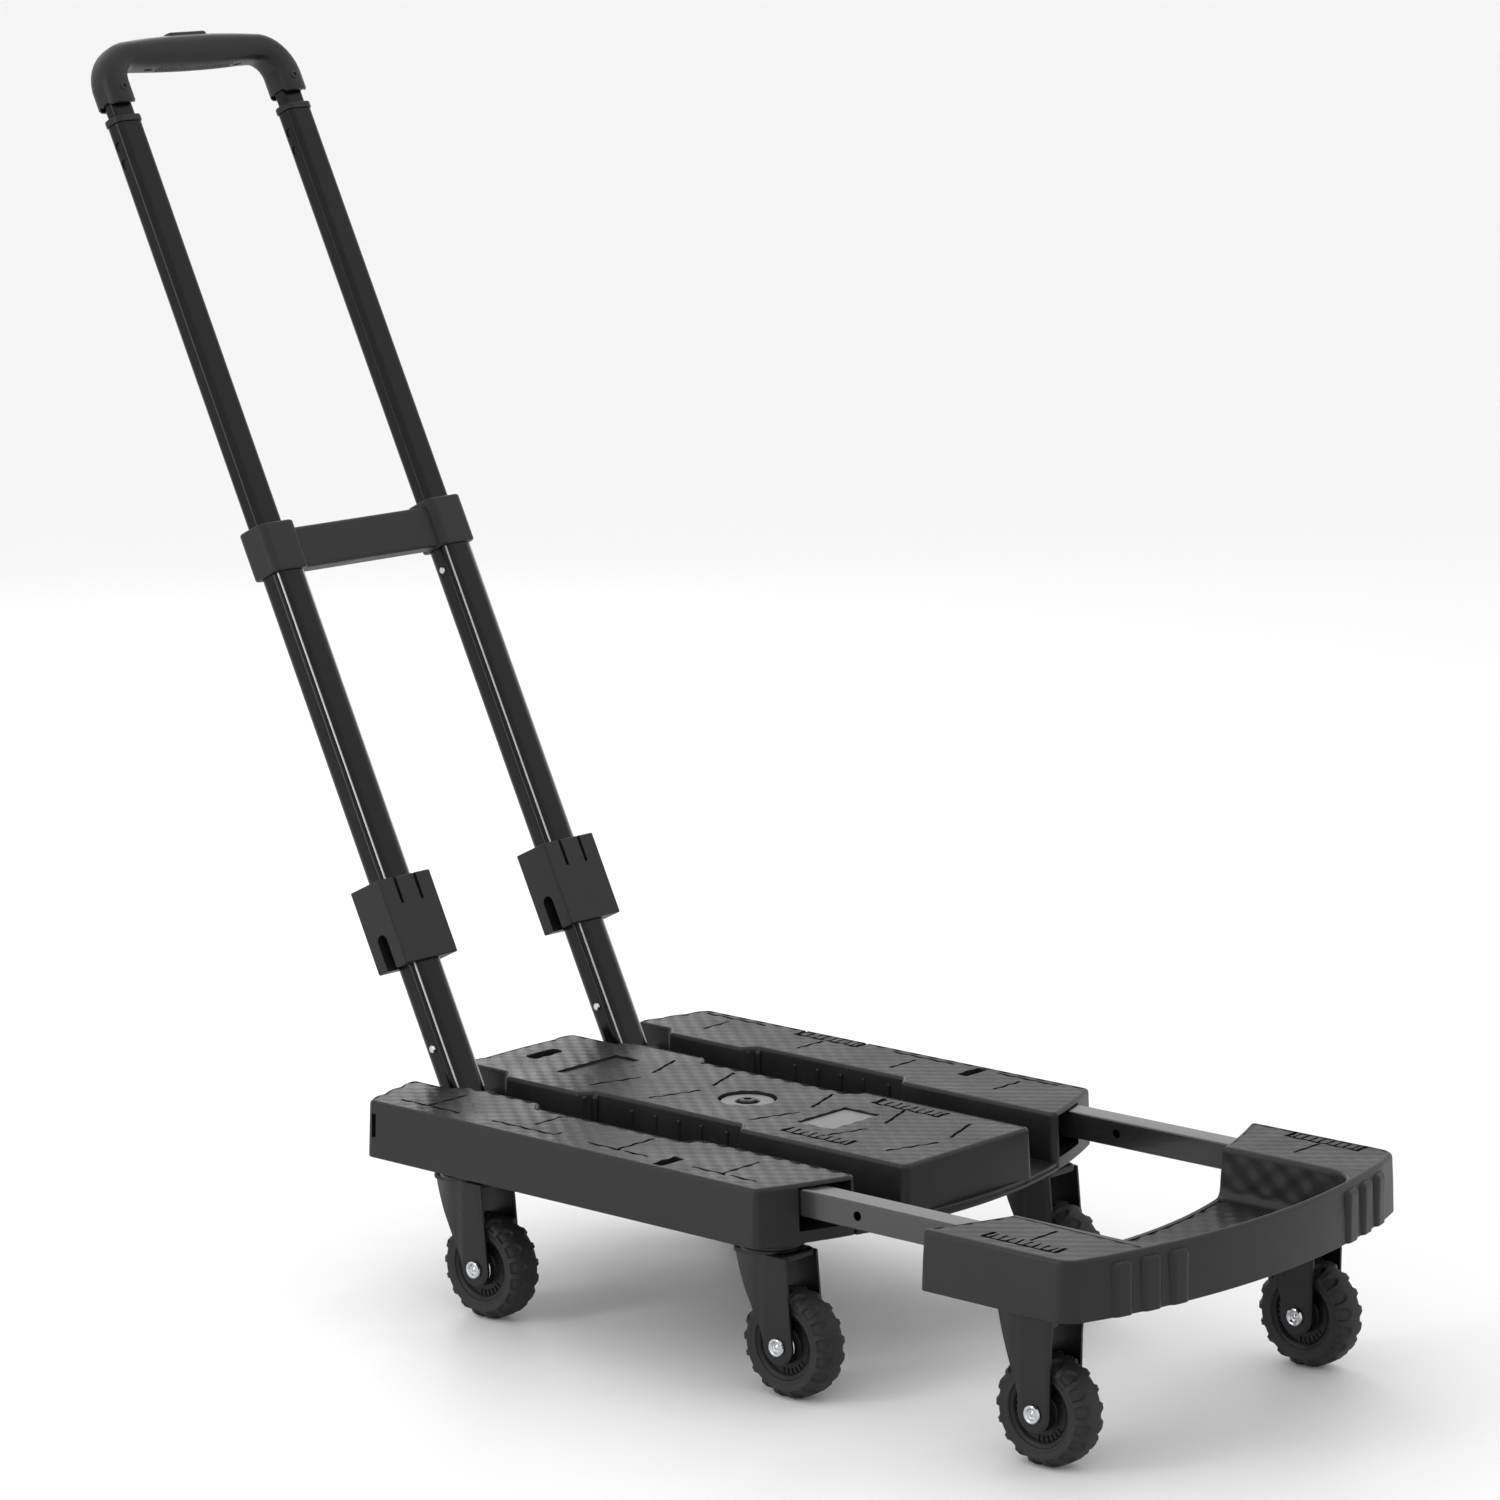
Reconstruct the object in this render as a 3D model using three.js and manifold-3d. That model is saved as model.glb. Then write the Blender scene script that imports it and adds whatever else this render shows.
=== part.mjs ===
// Folding luggage cart: a moulded platform on four swivel casters, a sliding nose on two fixed
// casters, and a three-stage handle that folds forward into grooves between the deck panels.
// Millimetres. +Z is up, the nose points to -Y, the handle stands at +Y, the floor is z = 0.
import * as THREE from 'three';
import * as BufferGeometryUtils from 'three/addons/utils/BufferGeometryUtils.js';
import Module from 'manifold-3d';

const wasm = await Module();
wasm.setup();

// ---------------------------------------------------------------- driving dimensions
const FIT = 0.3;                     // gap left between pieces that touch
const WIDTH = 360;                   // platform width
const HALF = WIDTH / 2;
const DECK_TOP = 150;                // height of the load surface above the floor
const SKIRT_BOTTOM = 109;            // underside of the platform and of the nose
const COVER = 2.7;                   // thickness of the bottom covers
const SHELL_BOTTOM = SKIRT_BOTTOM + COVER + FIT;
const FLOOR_TOP = 115;               // top of the groove floors and of the nose floor
const WALL = 3;                      // wall thickness of the mouldings
const PLATFORM_LENGTH = 361.5;       // along the outer edges
const FRONT_BULGE = 42;              // how far the front edge bows forward at the middle
const REAR_BULGE = 28;               // how far the rear edge bows back at the middle

const GROOVE_IN = 68.5;              // handle groove, inner and outer wall
const GROOVE_OUT = 105.5;
const POCKET_IN = 58;                // the wider pockets that take the lock blocks
const POCKET_OUT = 116.3;
const POCKET_Y = [120, 258];
const REAR_POCKET_Y = 343;

const NOSE_GAP = 140;                // platform to nose, extended
const NOSE_APEX = 293;               // front of the nose ahead of the platform's front corners
const NOSE_BOW = 0.00092;            // curvature of the nose's front, per mm
const NOSE_CORNER = 13;              // where the front curve gives way to the rounded corner
const WELL_HALF = 112;               // half width of the well between the nose arms
const NOSE_WALL = 6;
const SLIDE_X = 139;                 // centre of each slide tube
const SLIDE_SIDE = 19;
const SLIDE_TOP = 146.5;
const SLIDE_REAR = 175;              // rear end of the slide tubes, inside the platform

const LEG_X = 86;                    // centre of each handle leg
const LEAN = THREE.MathUtils.degToRad(26.5);
const PIVOT = { y: 356.8, z: 132 };  // handle hinge axis
const TO_DECK = 20.1;                // from the hinge, along the leg, to the deck surface
const LOWER = { wide: 29, deep: 22, round: 8, wall: 1.5, from: -11, to: TO_DECK + 413 };
const MIDDLE = { wide: 25, deep: 16, round: 5.5, wall: 1.2, from: TO_DECK + 352, to: TO_DECK + 738.7 };
const UPPER = { wide: 20.6, deep: 11.2, round: 3.5, wall: 1.2, from: TO_DECK + 440, to: TO_DECK + 772 };
const COLLAR = { wide: 27, deep: 18, round: 6.5, from: TO_DECK + 739, to: TO_DECK + 744 };
const CROSSBAR = { wide: 36, deep: 28, round: 7, from: TO_DECK + 384.5, to: TO_DECK + 421.5 };
const BLOCK = { wide: 53, deep: 32, round: 1.5, from: TO_DECK + 84.5, to: TO_DECK + 147.5 };
const GRIP = { half: 99.5, bottom: TO_DECK + 752.5, bar: TO_DECK + 779, top: TO_DECK + 804.5, deep: 26 };

const WHEEL_R = 37.5;
const TYRE_WIDTH = 27;
const RIM_R = 24;
const HUB_HALF = 13;
const AXLE_R = 4;
const FORK_INNER = 15;               // inner face of each fork side
const FORK_SHEET = 2.5;
const TRAIL = 20;                    // swivel axis to wheel axle
const SWIVELS = [['rear', 300, 141], ['middle', 19, 141]];
const FRONT = { x: 143, y: -219.5 };
const SIDES = [['left', -1], ['right', 1]];

const FOOTPRINT_MID = 222;           // moves the origin under the middle of the whole cart

// ---------------------------------------------------------------- materials
const PAINTS = {
  deck: [0x46474a, 0.62, 0.0],
  cover: [0x2c2d2f, 0.6, 0.0],
  tyre: [0x3a3a3c, 0.85, 0.0],
  hub: [0x2a2b2d, 0.5, 0.0],
  fork: [0x353639, 0.45, 0.6],
  chrome: [0xc9cbce, 0.2, 1.0],
  steel: [0xa9abae, 0.35, 0.9],
  tube: [0x1d1e20, 0.22, 0.5],
  grip: [0x2d2e30, 0.55, 0.0],
  block: [0x3c3d40, 0.55, 0.0],
  label: [0xc6c7c9, 0.5, 0.0],
};

function paint(name) {
  const [color, roughness, metalness] = PAINTS[name];
  return new THREE.MeshStandardMaterial({ color, roughness, metalness });
}

// ---------------------------------------------------------------- solids
function solidOf(geometry) {
  const plain = geometry.clone();
  plain.deleteAttribute('normal');
  plain.deleteAttribute('uv');
  const merged = BufferGeometryUtils.mergeVertices(plain, 1e-4);
  const vertProperties = new Float32Array(merged.attributes.position.array);
  const triVerts = new Uint32Array(merged.index.array);
  return new wasm.Manifold(new wasm.Mesh({ numProp: 3, vertProperties, triVerts }));
}

function geometryOf(solid) {
  const mesh = solid.getMesh();
  const geometry = new THREE.BufferGeometry();
  geometry.setAttribute('position', new THREE.BufferAttribute(new Float32Array(mesh.vertProperties), 3));
  geometry.setIndex(new THREE.BufferAttribute(new Uint32Array(mesh.triVerts), 1));
  geometry.computeVertexNormals();
  return geometry;
}

function box(x0, x1, y0, y1, z0, z1) {
  const geometry = new THREE.BoxGeometry(x1 - x0, y1 - y0, z1 - z0);
  return solidOf(geometry.translate((x0 + x1) / 2, (y0 + y1) / 2, (z0 + z1) / 2));
}

// A prism from an outline in X and Y, standing between two heights.
function slab(points, z0, z1) {
  const outline = new THREE.Shape(points.map(([x, y]) => new THREE.Vector2(x, y)));
  const geometry = new THREE.ExtrudeGeometry(outline, { depth: z1 - z0, bevelEnabled: false });
  return solidOf(geometry.translate(0, 0, z0));
}

// A prism from an outline in Y and Z, between two places along X.
function plate(points, x0, x1) {
  const outline = new THREE.Shape(points.map(([y, z]) => new THREE.Vector2(y, z)));
  const geometry = new THREE.ExtrudeGeometry(outline, { depth: x1 - x0, bevelEnabled: false });
  const turn = new THREE.Matrix4().makeBasis(
    new THREE.Vector3(0, 1, 0), new THREE.Vector3(0, 0, 1), new THREE.Vector3(1, 0, 0));
  return solidOf(geometry.applyMatrix4(turn).translate(x0, 0, 0));
}

function post(x, y, radius, z0, z1, sides = 24) {
  const geometry = new THREE.CylinderGeometry(radius, radius, z1 - z0, sides);
  return solidOf(geometry.rotateX(Math.PI / 2).translate(x, y, (z0 + z1) / 2));
}

function crossRod(y, z, radius, x0, x1, sides = 16) {
  const geometry = new THREE.CylinderGeometry(radius, radius, x1 - x0, sides);
  return solidOf(geometry.rotateZ(Math.PI / 2).translate((x0 + x1) / 2, y, z));
}

// A ring turned about the X axis from a closed profile of [along X, radius].
function turned(profile, sides) {
  const points = [profile[0], ...[...profile].reverse()].map(([x, r]) => new THREE.Vector2(r, x));
  const geometry = new THREE.LatheGeometry(points, sides);
  return solidOf(geometry.rotateZ(-Math.PI / 2));
}

function arcPoints(x, y, radius, from, to, steps) {
  return Array.from({ length: steps + 1 }, (_, i) => {
    const angle = THREE.MathUtils.degToRad(from + ((to - from) * i) / steps);
    return [x + radius * Math.cos(angle), y + radius * Math.sin(angle)];
  });
}

function roundedRect(wide, deep, round, steps = 3) {
  const a = wide / 2 - round;
  const b = deep / 2 - round;
  return [
    ...arcPoints(a, -b, round, -90, 0, steps),
    ...arcPoints(a, b, round, 0, 90, steps),
    ...arcPoints(-a, b, round, 90, 180, steps),
    ...arcPoints(-a, -b, round, 180, 270, steps),
  ];
}

function node(name, solid, colour) {
  const mesh = new THREE.Mesh(geometryOf(solid), paint(colour));
  mesh.name = name;
  return mesh;
}

const cart = new THREE.Group();
cart.position.y = -FOOTPRINT_MID;

// ---------------------------------------------------------------- platform
function frontEdge(x) {
  return -FRONT_BULGE * (1 - (x / HALF) ** 2);
}

function rearEdge(x) {
  return PLATFORM_LENGTH + REAR_BULGE * (1 - (x / HALF) ** 2);
}

function across(from, to, steps, edge) {
  return Array.from({ length: steps + 1 }, (_, i) => {
    const x = from + ((to - from) * i) / steps;
    return [x, edge(x)];
  });
}

function platformOutline() {
  return [...across(-HALF, HALF, 12, frontEdge), ...across(HALF, -HALF, 12, rearEdge)];
}

function platformTop() {
  let shell = slab(platformOutline(), SHELL_BOTTOM, DECK_TOP);
  const ceiling = DECK_TOP - WALL;
  const below = SHELL_BOTTOM - 1;
  const hollow = (x0, x1, y0, y1) => box(x0, x1, y0, y1, below, ceiling);
  for (const [, side] of SIDES) {
    const [grooveA, grooveB] = [side * GROOVE_IN, side * GROOVE_OUT].sort((a, b) => a - b);
    const [pocketA, pocketB] = [side * POCKET_IN, side * POCKET_OUT].sort((a, b) => a - b);
    const [panelA, panelB] = [side * (POCKET_OUT + WALL), side * (HALF - WALL)].sort((a, b) => a - b);
    const above = DECK_TOP + 1;
    const rear = PLATFORM_LENGTH + REAR_BULGE + 1;
    shell = shell.subtract(box(grooveA, grooveB, -FRONT_BULGE - 1, rear, FLOOR_TOP, above));
    shell = shell.subtract(box(pocketA, pocketB, ...POCKET_Y, FLOOR_TOP, above));
    shell = shell.subtract(box(pocketA, pocketB, REAR_POCKET_Y, rear, FLOOR_TOP, above));
    shell = shell.subtract(hollow(panelA, panelB, 8, PLATFORM_LENGTH - 4));
    // front window for the slide tube
    const tube = SLIDE_SIDE / 2 + 0.5;
    const tubeX = side * SLIDE_X;
    shell = shell.subtract(
      box(tubeX - tube, tubeX + tube, -FRONT_BULGE, 20, SLIDE_TOP - SLIDE_SIDE - 0.5, SLIDE_TOP + 0.4));
    // strap slot through the deck panel
    const [slotA, slotB] = [side * 150, side * 174].sort((a, b) => a - b);
    shell = shell.subtract(box(slotA, slotB, 88, 98, ceiling - 1, above));
    // hinge pin seat
    const [pinA, pinB] = [side * (POCKET_IN - 5), side * (POCKET_OUT + 5)].sort((a, b) => a - b);
    shell = shell.subtract(crossRod(PIVOT.y, PIVOT.z, AXLE_R, pinA, pinB));
  }
  // centre panel: set back from the ledge, hollow below, with a boss for the centre bolt
  shell = shell.subtract(box(-GROOVE_IN - 1, GROOVE_IN + 1, -FRONT_BULGE - 1, -37, FLOOR_TOP, DECK_TOP + 1));
  const boss = post(0, 165, 27, below, ceiling);
  shell = shell.subtract(hollow(-POCKET_IN + WALL + 2, POCKET_IN - WALL - 2, -30, 376).subtract(boss));
  shell = shell.subtract(post(0, 165, 21, DECK_TOP - 5, DECK_TOP + 1));
  shell = shell.subtract(post(0, 165, AXLE_R + FIT, DECK_TOP - 26, DECK_TOP));
  shell = shell.subtract(box(-26, 26, 65, 97, DECK_TOP - 2.2, DECK_TOP + 1));
  shell = shell.subtract(box(-32, 32, 296, 320, DECK_TOP - 1.6, DECK_TOP + 1));
  const oval = roundedRect(32, 13, 6.4, 4).map(([x, y]) => [x, y + 362]);
  shell = shell.subtract(slab(oval, ceiling - 1, DECK_TOP + 1));
  return node('platform_top', shell, 'deck');
}

function platformBase() {
  const plateSolid = slab(platformOutline(), SKIRT_BOTTOM, SKIRT_BOTTOM + COVER);
  return node('platform_base', plateSolid, 'cover');
}

function centreFastening() {
  const seat = DECK_TOP - 5 + FIT;
  const washer = post(0, 165, 19, seat, seat + 2.2).subtract(post(0, 165, AXLE_R + FIT, seat - 1, seat + 3));
  const under = seat + 2.2 + FIT;
  const bolt = post(0, 165, 7.4, under, under + 4, 6).add(post(0, 165, AXLE_R, DECK_TOP - 24, under + 1, 12));
  return [node('centre_washer', washer, 'label'), node('centre_bolt', bolt, 'steel')];
}

function hingePins() {
  return SIDES.map(([side, sign]) => {
    const [from, to] = [sign * (POCKET_IN - 4.5), sign * (POCKET_OUT + 4.5)].sort((a, b) => a - b);
    return node(`hinge_pin_${side}`, crossRod(PIVOT.y, PIVOT.z, AXLE_R - 0.4, from, to, 12), 'steel');
  });
}

cart.add(platformTop(), platformBase(), ...centreFastening(), ...hingePins());

// ---------------------------------------------------------------- nose
function noseRear(x) {
  return frontEdge(x) - NOSE_GAP;
}

function noseFront(x, inset = 0) {
  return -NOSE_APEX + inset + NOSE_BOW * x * x;
}

function noseOutline() {
  const cornerX = HALF - NOSE_CORNER;
  const cornerY = noseFront(cornerX);
  const corner = (sign) => [
    [sign * (HALF - 4), cornerY + 5],
    [sign * HALF, cornerY + 14],
  ];
  return [
    ...across(-cornerX, cornerX, 16, (x) => noseFront(x)),
    ...corner(1),
    ...across(HALF, -HALF, 12, noseRear),
    ...corner(-1).reverse(),
  ];
}

function wellOutline() {
  const bend = 22;
  const flat = WELL_HALF - bend;
  const front = (x) => noseFront(x, NOSE_WALL);
  const bendY = front(flat) + bend;
  return [
    ...across(-flat, flat, 12, front),
    ...arcPoints(flat, bendY, bend, -90, 0, 4).slice(1),
    [WELL_HALF, -NOSE_GAP],
    [-WELL_HALF, -NOSE_GAP],
    ...arcPoints(-flat, bendY, bend, 180, 270, 4).slice(0, -1),
  ];
}

function noseTop() {
  let shell = slab(noseOutline(), SHELL_BOTTOM, DECK_TOP);
  shell = shell.subtract(slab(wellOutline(), FLOOR_TOP, DECK_TOP + 1));
  for (const [, sign] of SIDES) {
    const [armA, armB] = [sign * (WELL_HALF + WALL), sign * (HALF - WALL)].sort((a, b) => a - b);
    shell = shell.subtract(box(armA, armB, -256, -172, SHELL_BOTTOM - 1, DECK_TOP - WALL));
    const tube = SLIDE_SIDE / 2 + FIT;
    const tubeX = sign * SLIDE_X;
    shell = shell.subtract(
      box(tubeX - tube, tubeX + tube, -200, -NOSE_GAP, SLIDE_TOP - SLIDE_SIDE - FIT, SLIDE_TOP + FIT));
    for (const offset of [94, 117, 140]) {
      const x = sign * offset;
      shell = shell.subtract(post(x, noseFront(x) - 2.2, 5, SHELL_BOTTOM - 1, DECK_TOP + 1, 12));
    }
  }
  return node('nose_top', shell, 'deck');
}

function noseBase() {
  return node('nose_base', slab(noseOutline(), SKIRT_BOTTOM, SKIRT_BOTTOM + COVER), 'cover');
}

function slideTubes() {
  const half = SLIDE_SIDE / 2;
  const z0 = SLIDE_TOP - SLIDE_SIDE;
  return SIDES.map(([side, sign]) => {
    const x = sign * SLIDE_X;
    const outer = box(x - half, x + half, -215, SLIDE_REAR, z0, SLIDE_TOP);
    const bore = box(x - half + 1.5, x + half - 1.5, -216, SLIDE_REAR + 1, z0 + 1.5, SLIDE_TOP - 1.5);
    const lockHole = crossRod(-62, SLIDE_TOP - half, 3.3, x - half - 1, x + half + 1, 12);
    return node(`slide_tube_${side}`, outer.subtract(bore).subtract(lockHole), 'steel');
  });
}

cart.add(noseTop(), noseBase(), ...slideTubes());

// ---------------------------------------------------------------- wheels and casters
function tyre() {
  const half = TYRE_WIDTH / 2;
  const inner = RIM_R + FIT;
  return turned([
    [-half + 2, inner],
    [half - 2, inner],
    [half, inner + 6],
    [half * 0.45, WHEEL_R],
    [-half * 0.45, WHEEL_R],
    [-half, inner + 6],
  ], 20);
}

function hub() {
  return turned([
    [-HUB_HALF, 8.6],
    [HUB_HALF, 8.6],
    [HUB_HALF, 13],
    [HUB_HALF - 3, RIM_R],
    [-HUB_HALF + 3, RIM_R],
    [-HUB_HALF, 13],
  ], 16);
}

function bearing() {
  const half = HUB_HALF + 0.6;
  return turned([[-half, AXLE_R + 0.4], [half, AXLE_R + 0.4], [half, 8], [-half, 8]], 12);
}

function axle() {
  const face = FORK_INNER + FORK_SHEET + FIT;
  return turned([
    [-face - 2, 2],
    [face + 2, 2],
    [face + 2, 5.5],
    [face, 6.2],
    [face, AXLE_R],
    [-face, AXLE_R],
    [-face, 6.2],
    [-face - 2, 5.5],
  ], 10);
}

// One fork side: wide under the crown and rounded about the axle.
function forkSide(frontTop, rearTop, top, radius, x0, x1) {
  const outline = [
    ...arcPoints(0, WHEEL_R, radius, 190, 350, 6),
    [rearTop, top - 12],
    [rearTop, top],
    [frontTop, top],
    [frontTop, top - 12],
  ];
  return plate(outline, x0, x1);
}

function forkSides(frontTop, rearTop, top, radius) {
  const outer = FORK_INNER + FORK_SHEET;
  const sides = [[-outer, -FORK_INNER], [FORK_INNER, outer]];
  const [a, b] = sides.map(([x0, x1]) => forkSide(frontTop, rearTop, top, radius, x0, x1));
  return a.add(b);
}

function axleHole(fork) {
  const outer = FORK_INNER + FORK_SHEET + 1;
  return fork.subtract(crossRod(0, WHEEL_R, AXLE_R + 0.3, -outer, outer, 12));
}

const RACE_TOP = 105.2;
const CROWN_TOP = 101;
const CROWN_BOTTOM = 98;

// Modelled about its wheel axle, with the swivel axis behind it.
function swivelFork() {
  const outer = FORK_INNER + FORK_SHEET;
  let fork = forkSides(TRAIL - 25, TRAIL + 25, CROWN_TOP, 10);
  fork = fork.add(box(-outer, outer, TRAIL - 25, TRAIL + 25, CROWN_BOTTOM, CROWN_TOP));
  fork = fork.add(post(0, TRAIL, 22, CROWN_BOTTOM, RACE_TOP));
  fork = fork.subtract(post(0, TRAIL, 5.6, CROWN_BOTTOM - 1, RACE_TOP + 1, 16));
  return axleHole(fork);
}

function casterPlate() {
  const top = SKIRT_BOTTOM - FIT;
  let solid = post(0, 0, 27, top - 3, top);
  solid = solid.add(post(0, 0, 5, 94, top - 1, 12));
  return solid.add(post(0, 0, 8, 93.5, 97, 12));
}

function fixedFork() {
  const outer = FORK_INNER + FORK_SHEET;
  const top = SKIRT_BOTTOM - FIT;
  let fork = forkSides(-15.5, 37, top, 11);
  fork = fork.add(box(-outer - 6, outer + 6, -15.5, 37, top - FORK_SHEET, top));
  return axleHole(fork);
}

function wheelSet(name, x, y) {
  const group = new THREE.Group();
  group.position.set(x, y, 0);
  const spin = new THREE.Group();
  spin.position.z = WHEEL_R;
  spin.add(node(`tyre_${name}`, tyre(), 'tyre'));
  spin.add(node(`hub_${name}`, hub(), 'hub'));
  spin.add(node(`bearing_${name}`, bearing(), 'chrome'));
  spin.add(node(`axle_${name}`, axle(), 'chrome'));
  group.add(spin);
  return group;
}

for (const [side, sign] of SIDES) {
  for (const [place, swivelY, x] of SWIVELS) {
    const name = `${place}_${side}`;
    const wheel = wheelSet(name, sign * x, swivelY - TRAIL);
    wheel.add(node(`fork_${name}`, swivelFork(), 'fork'));
    const top = node(`caster_plate_${name}`, casterPlate(), 'steel');
    top.position.set(0, TRAIL, 0);
    wheel.add(top);
    cart.add(wheel);
  }
  const name = `front_${side}`;
  const wheel = wheelSet(name, sign * FRONT.x, FRONT.y);
  wheel.add(node(`fork_${name}`, fixedFork(), 'fork'));
  cart.add(wheel);
}

// ---------------------------------------------------------------- handle
// The handle group's Z runs up the legs from the hinge, its X along the hinge, and its -Y is the front.
const handle = new THREE.Group();
handle.position.set(0, PIVOT.y, PIVOT.z);
handle.rotation.x = -LEAN;
cart.add(handle);

// The outline of a tube or sleeve, grown all round and moved along X.
function bar(section, grow = 0, x = 0) {
  const outline = roundedRect(section.wide + grow, section.deep + grow, section.round + grow / 2);
  return outline.map(([px, py]) => [px + x, py]);
}

function tube(section) {
  const outer = slab(bar(section), section.from, section.to);
  return outer.subtract(slab(bar(section, -2 * section.wall), section.from - 1, section.to + 1));
}

function lowerLeg() {
  const reach = LOWER.wide / 2 + 1;
  return tube(LOWER).subtract(crossRod(0, 0, AXLE_R + 0.2, -reach, reach));
}

function collar() {
  return slab(bar(COLLAR), COLLAR.from, COLLAR.to)
    .subtract(slab(bar(UPPER, 0.8), COLLAR.from - 1, COLLAR.to + 1));
}

function lockBlock() {
  let block = slab(bar(BLOCK), BLOCK.from, BLOCK.to);
  block = block.subtract(slab(bar(LOWER, 1), BLOCK.from - 1, BLOCK.to + 1));
  const front = -BLOCK.deep / 2;
  for (const x of [-10, 10]) {
    block = block.subtract(box(x - 1.5, x + 1.5, front - 1, front + 3, BLOCK.to - 20, BLOCK.to + 1));
  }
  const arch = [
    [-5, BLOCK.from - 1],
    [5, BLOCK.from - 1],
    ...arcPoints(0, BLOCK.from + 21, 5, 0, 180, 6),
  ];
  return block.subtract(plate(arch, -BLOCK.wide / 2 - 1, -LOWER.wide / 2));
}

function latchPin() {
  const face = -LOWER.wide / 2;
  return crossRod(0, TO_DECK + 22, 3, face - 2.5, face - FIT, 12);
}

function crossbar() {
  let solid = box(-LEG_X, LEG_X, -9, 7, CROSSBAR.from, CROSSBAR.to - 5);
  for (const x of [-LEG_X, LEG_X]) {
    solid = solid.add(slab(bar(CROSSBAR, 0, x), CROSSBAR.from, CROSSBAR.to));
  }
  for (const x of [-LEG_X, LEG_X]) {
    const socket = slab(bar(LOWER, 2 * FIT, x), CROSSBAR.from - 1, LOWER.to + FIT);
    const passage = slab(bar(MIDDLE, 0.8, x), CROSSBAR.from, CROSSBAR.to + 1);
    solid = solid.subtract(socket.add(passage));
  }
  return node('crossbar', solid, 'block');
}

// Outline in X and height: two short legs joined by a crowned bar.
function grip() {
  const legIn = LEG_X - 13.5;
  const crown = (x) => GRIP.top - (2 + 6 * (x / 80) ** 2) * (Math.abs(x) / 80);
  const outline = [
    [-GRIP.half, GRIP.bottom],
    [-legIn, GRIP.bottom],
    [-legIn, GRIP.bar - 6],
    [-legIn + 8, GRIP.bar],
    [legIn - 8, GRIP.bar],
    [legIn, GRIP.bar - 6],
    [legIn, GRIP.bottom],
    [GRIP.half, GRIP.bottom],
    [GRIP.half, GRIP.top - 30],
    [GRIP.half - 3, GRIP.top - 20],
    [GRIP.half - 9, GRIP.top - 12],
    ...across(80, -80, 8, crown),
    [-GRIP.half + 9, GRIP.top - 12],
    [-GRIP.half + 3, GRIP.top - 20],
    [-GRIP.half, GRIP.top - 30],
  ];
  const half = GRIP.deep / 2;
  const upright = new THREE.Matrix4().makeBasis(
    new THREE.Vector3(1, 0, 0), new THREE.Vector3(0, 0, 1), new THREE.Vector3(0, -1, 0));
  const shape = new THREE.Shape(outline.map(([x, z]) => new THREE.Vector2(x, z)));
  const raw = new THREE.ExtrudeGeometry(shape, { depth: GRIP.deep, bevelEnabled: false });
  let solid = solidOf(raw.translate(0, 0, -half).applyMatrix4(upright));
  for (const x of [-LEG_X, LEG_X]) {
    solid = solid.subtract(slab(bar(UPPER, 2 * FIT, x), GRIP.bottom - 1, UPPER.to + FIT));
  }
  return node('grip', solid.subtract(box(-20.5, 20.5, -8.5, 8.5, GRIP.top - 8, GRIP.top + 1)), 'grip');
}

function gripButton() {
  const outline = roundedRect(40, 16, 5);
  return node('grip_button', slab(outline, GRIP.top - 4, GRIP.top + 1.6), 'grip');
}

function atLeg(name, solid, colour, sign) {
  const mesh = node(name, solid, colour);
  mesh.position.x = sign * LEG_X;
  return mesh;
}

handle.add(crossbar(), grip(), gripButton());
for (const [side, sign] of SIDES) {
  handle.add(atLeg(`lower_leg_${side}`, lowerLeg(), 'tube', sign));
  handle.add(atLeg(`middle_tube_${side}`, tube(MIDDLE), 'tube', sign));
  handle.add(atLeg(`upper_tube_${side}`, tube(UPPER), 'steel', sign));
  handle.add(atLeg(`collar_${side}`, collar(), 'grip', sign));
  handle.add(atLeg(`lock_block_${side}`, lockBlock(), 'block', sign));
  handle.add(atLeg(`latch_pin_${side}`, latchPin(), 'chrome', sign));
}

export default cart;
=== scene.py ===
"""Folding luggage cart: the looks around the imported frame.

Solids are built in millimetres in the cart's own frame, where y = 0 is the front corner of the side
panels, and turned into metres in the row frame when they become pieces.
"""

import math

import bmesh
import bpy
import numpy as np
from mathutils import Matrix, Vector


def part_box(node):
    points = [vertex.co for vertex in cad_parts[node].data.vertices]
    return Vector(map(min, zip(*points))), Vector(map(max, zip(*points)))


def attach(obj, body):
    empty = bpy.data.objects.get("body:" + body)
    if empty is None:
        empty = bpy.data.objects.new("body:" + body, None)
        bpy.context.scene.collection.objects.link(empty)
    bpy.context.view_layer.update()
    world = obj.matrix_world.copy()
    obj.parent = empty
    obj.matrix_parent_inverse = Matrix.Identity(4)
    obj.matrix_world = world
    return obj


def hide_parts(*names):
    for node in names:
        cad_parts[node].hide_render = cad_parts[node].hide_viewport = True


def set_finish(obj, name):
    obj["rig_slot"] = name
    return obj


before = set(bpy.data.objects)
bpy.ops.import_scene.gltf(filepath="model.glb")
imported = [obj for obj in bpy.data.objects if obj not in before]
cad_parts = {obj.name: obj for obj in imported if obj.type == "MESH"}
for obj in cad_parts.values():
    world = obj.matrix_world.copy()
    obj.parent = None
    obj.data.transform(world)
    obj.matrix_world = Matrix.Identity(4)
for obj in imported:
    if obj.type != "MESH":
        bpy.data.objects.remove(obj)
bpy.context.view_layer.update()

# ---------------------------------------------------------------- driving dimensions, mm
MM = 0.001
HALF = 180                     # half width of the platform
DECK_TOP = 150
SKIRT_BOTTOM = 109
FLOOR_TOP = 115                # groove floors, nose floor
LENGTH = 361.5                 # platform, along its outer edges
FRONT_BULGE = 42
REAR_BULGE = 28
GROOVE_IN, GROOVE_OUT = 68.5, 105.5
POCKET_IN, POCKET_OUT = 58, 116.3
POCKET = (120, 258)            # wide pockets of the grooves, along y
REAR_POCKET = 343
CENTRE_FRONT = -37
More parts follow.
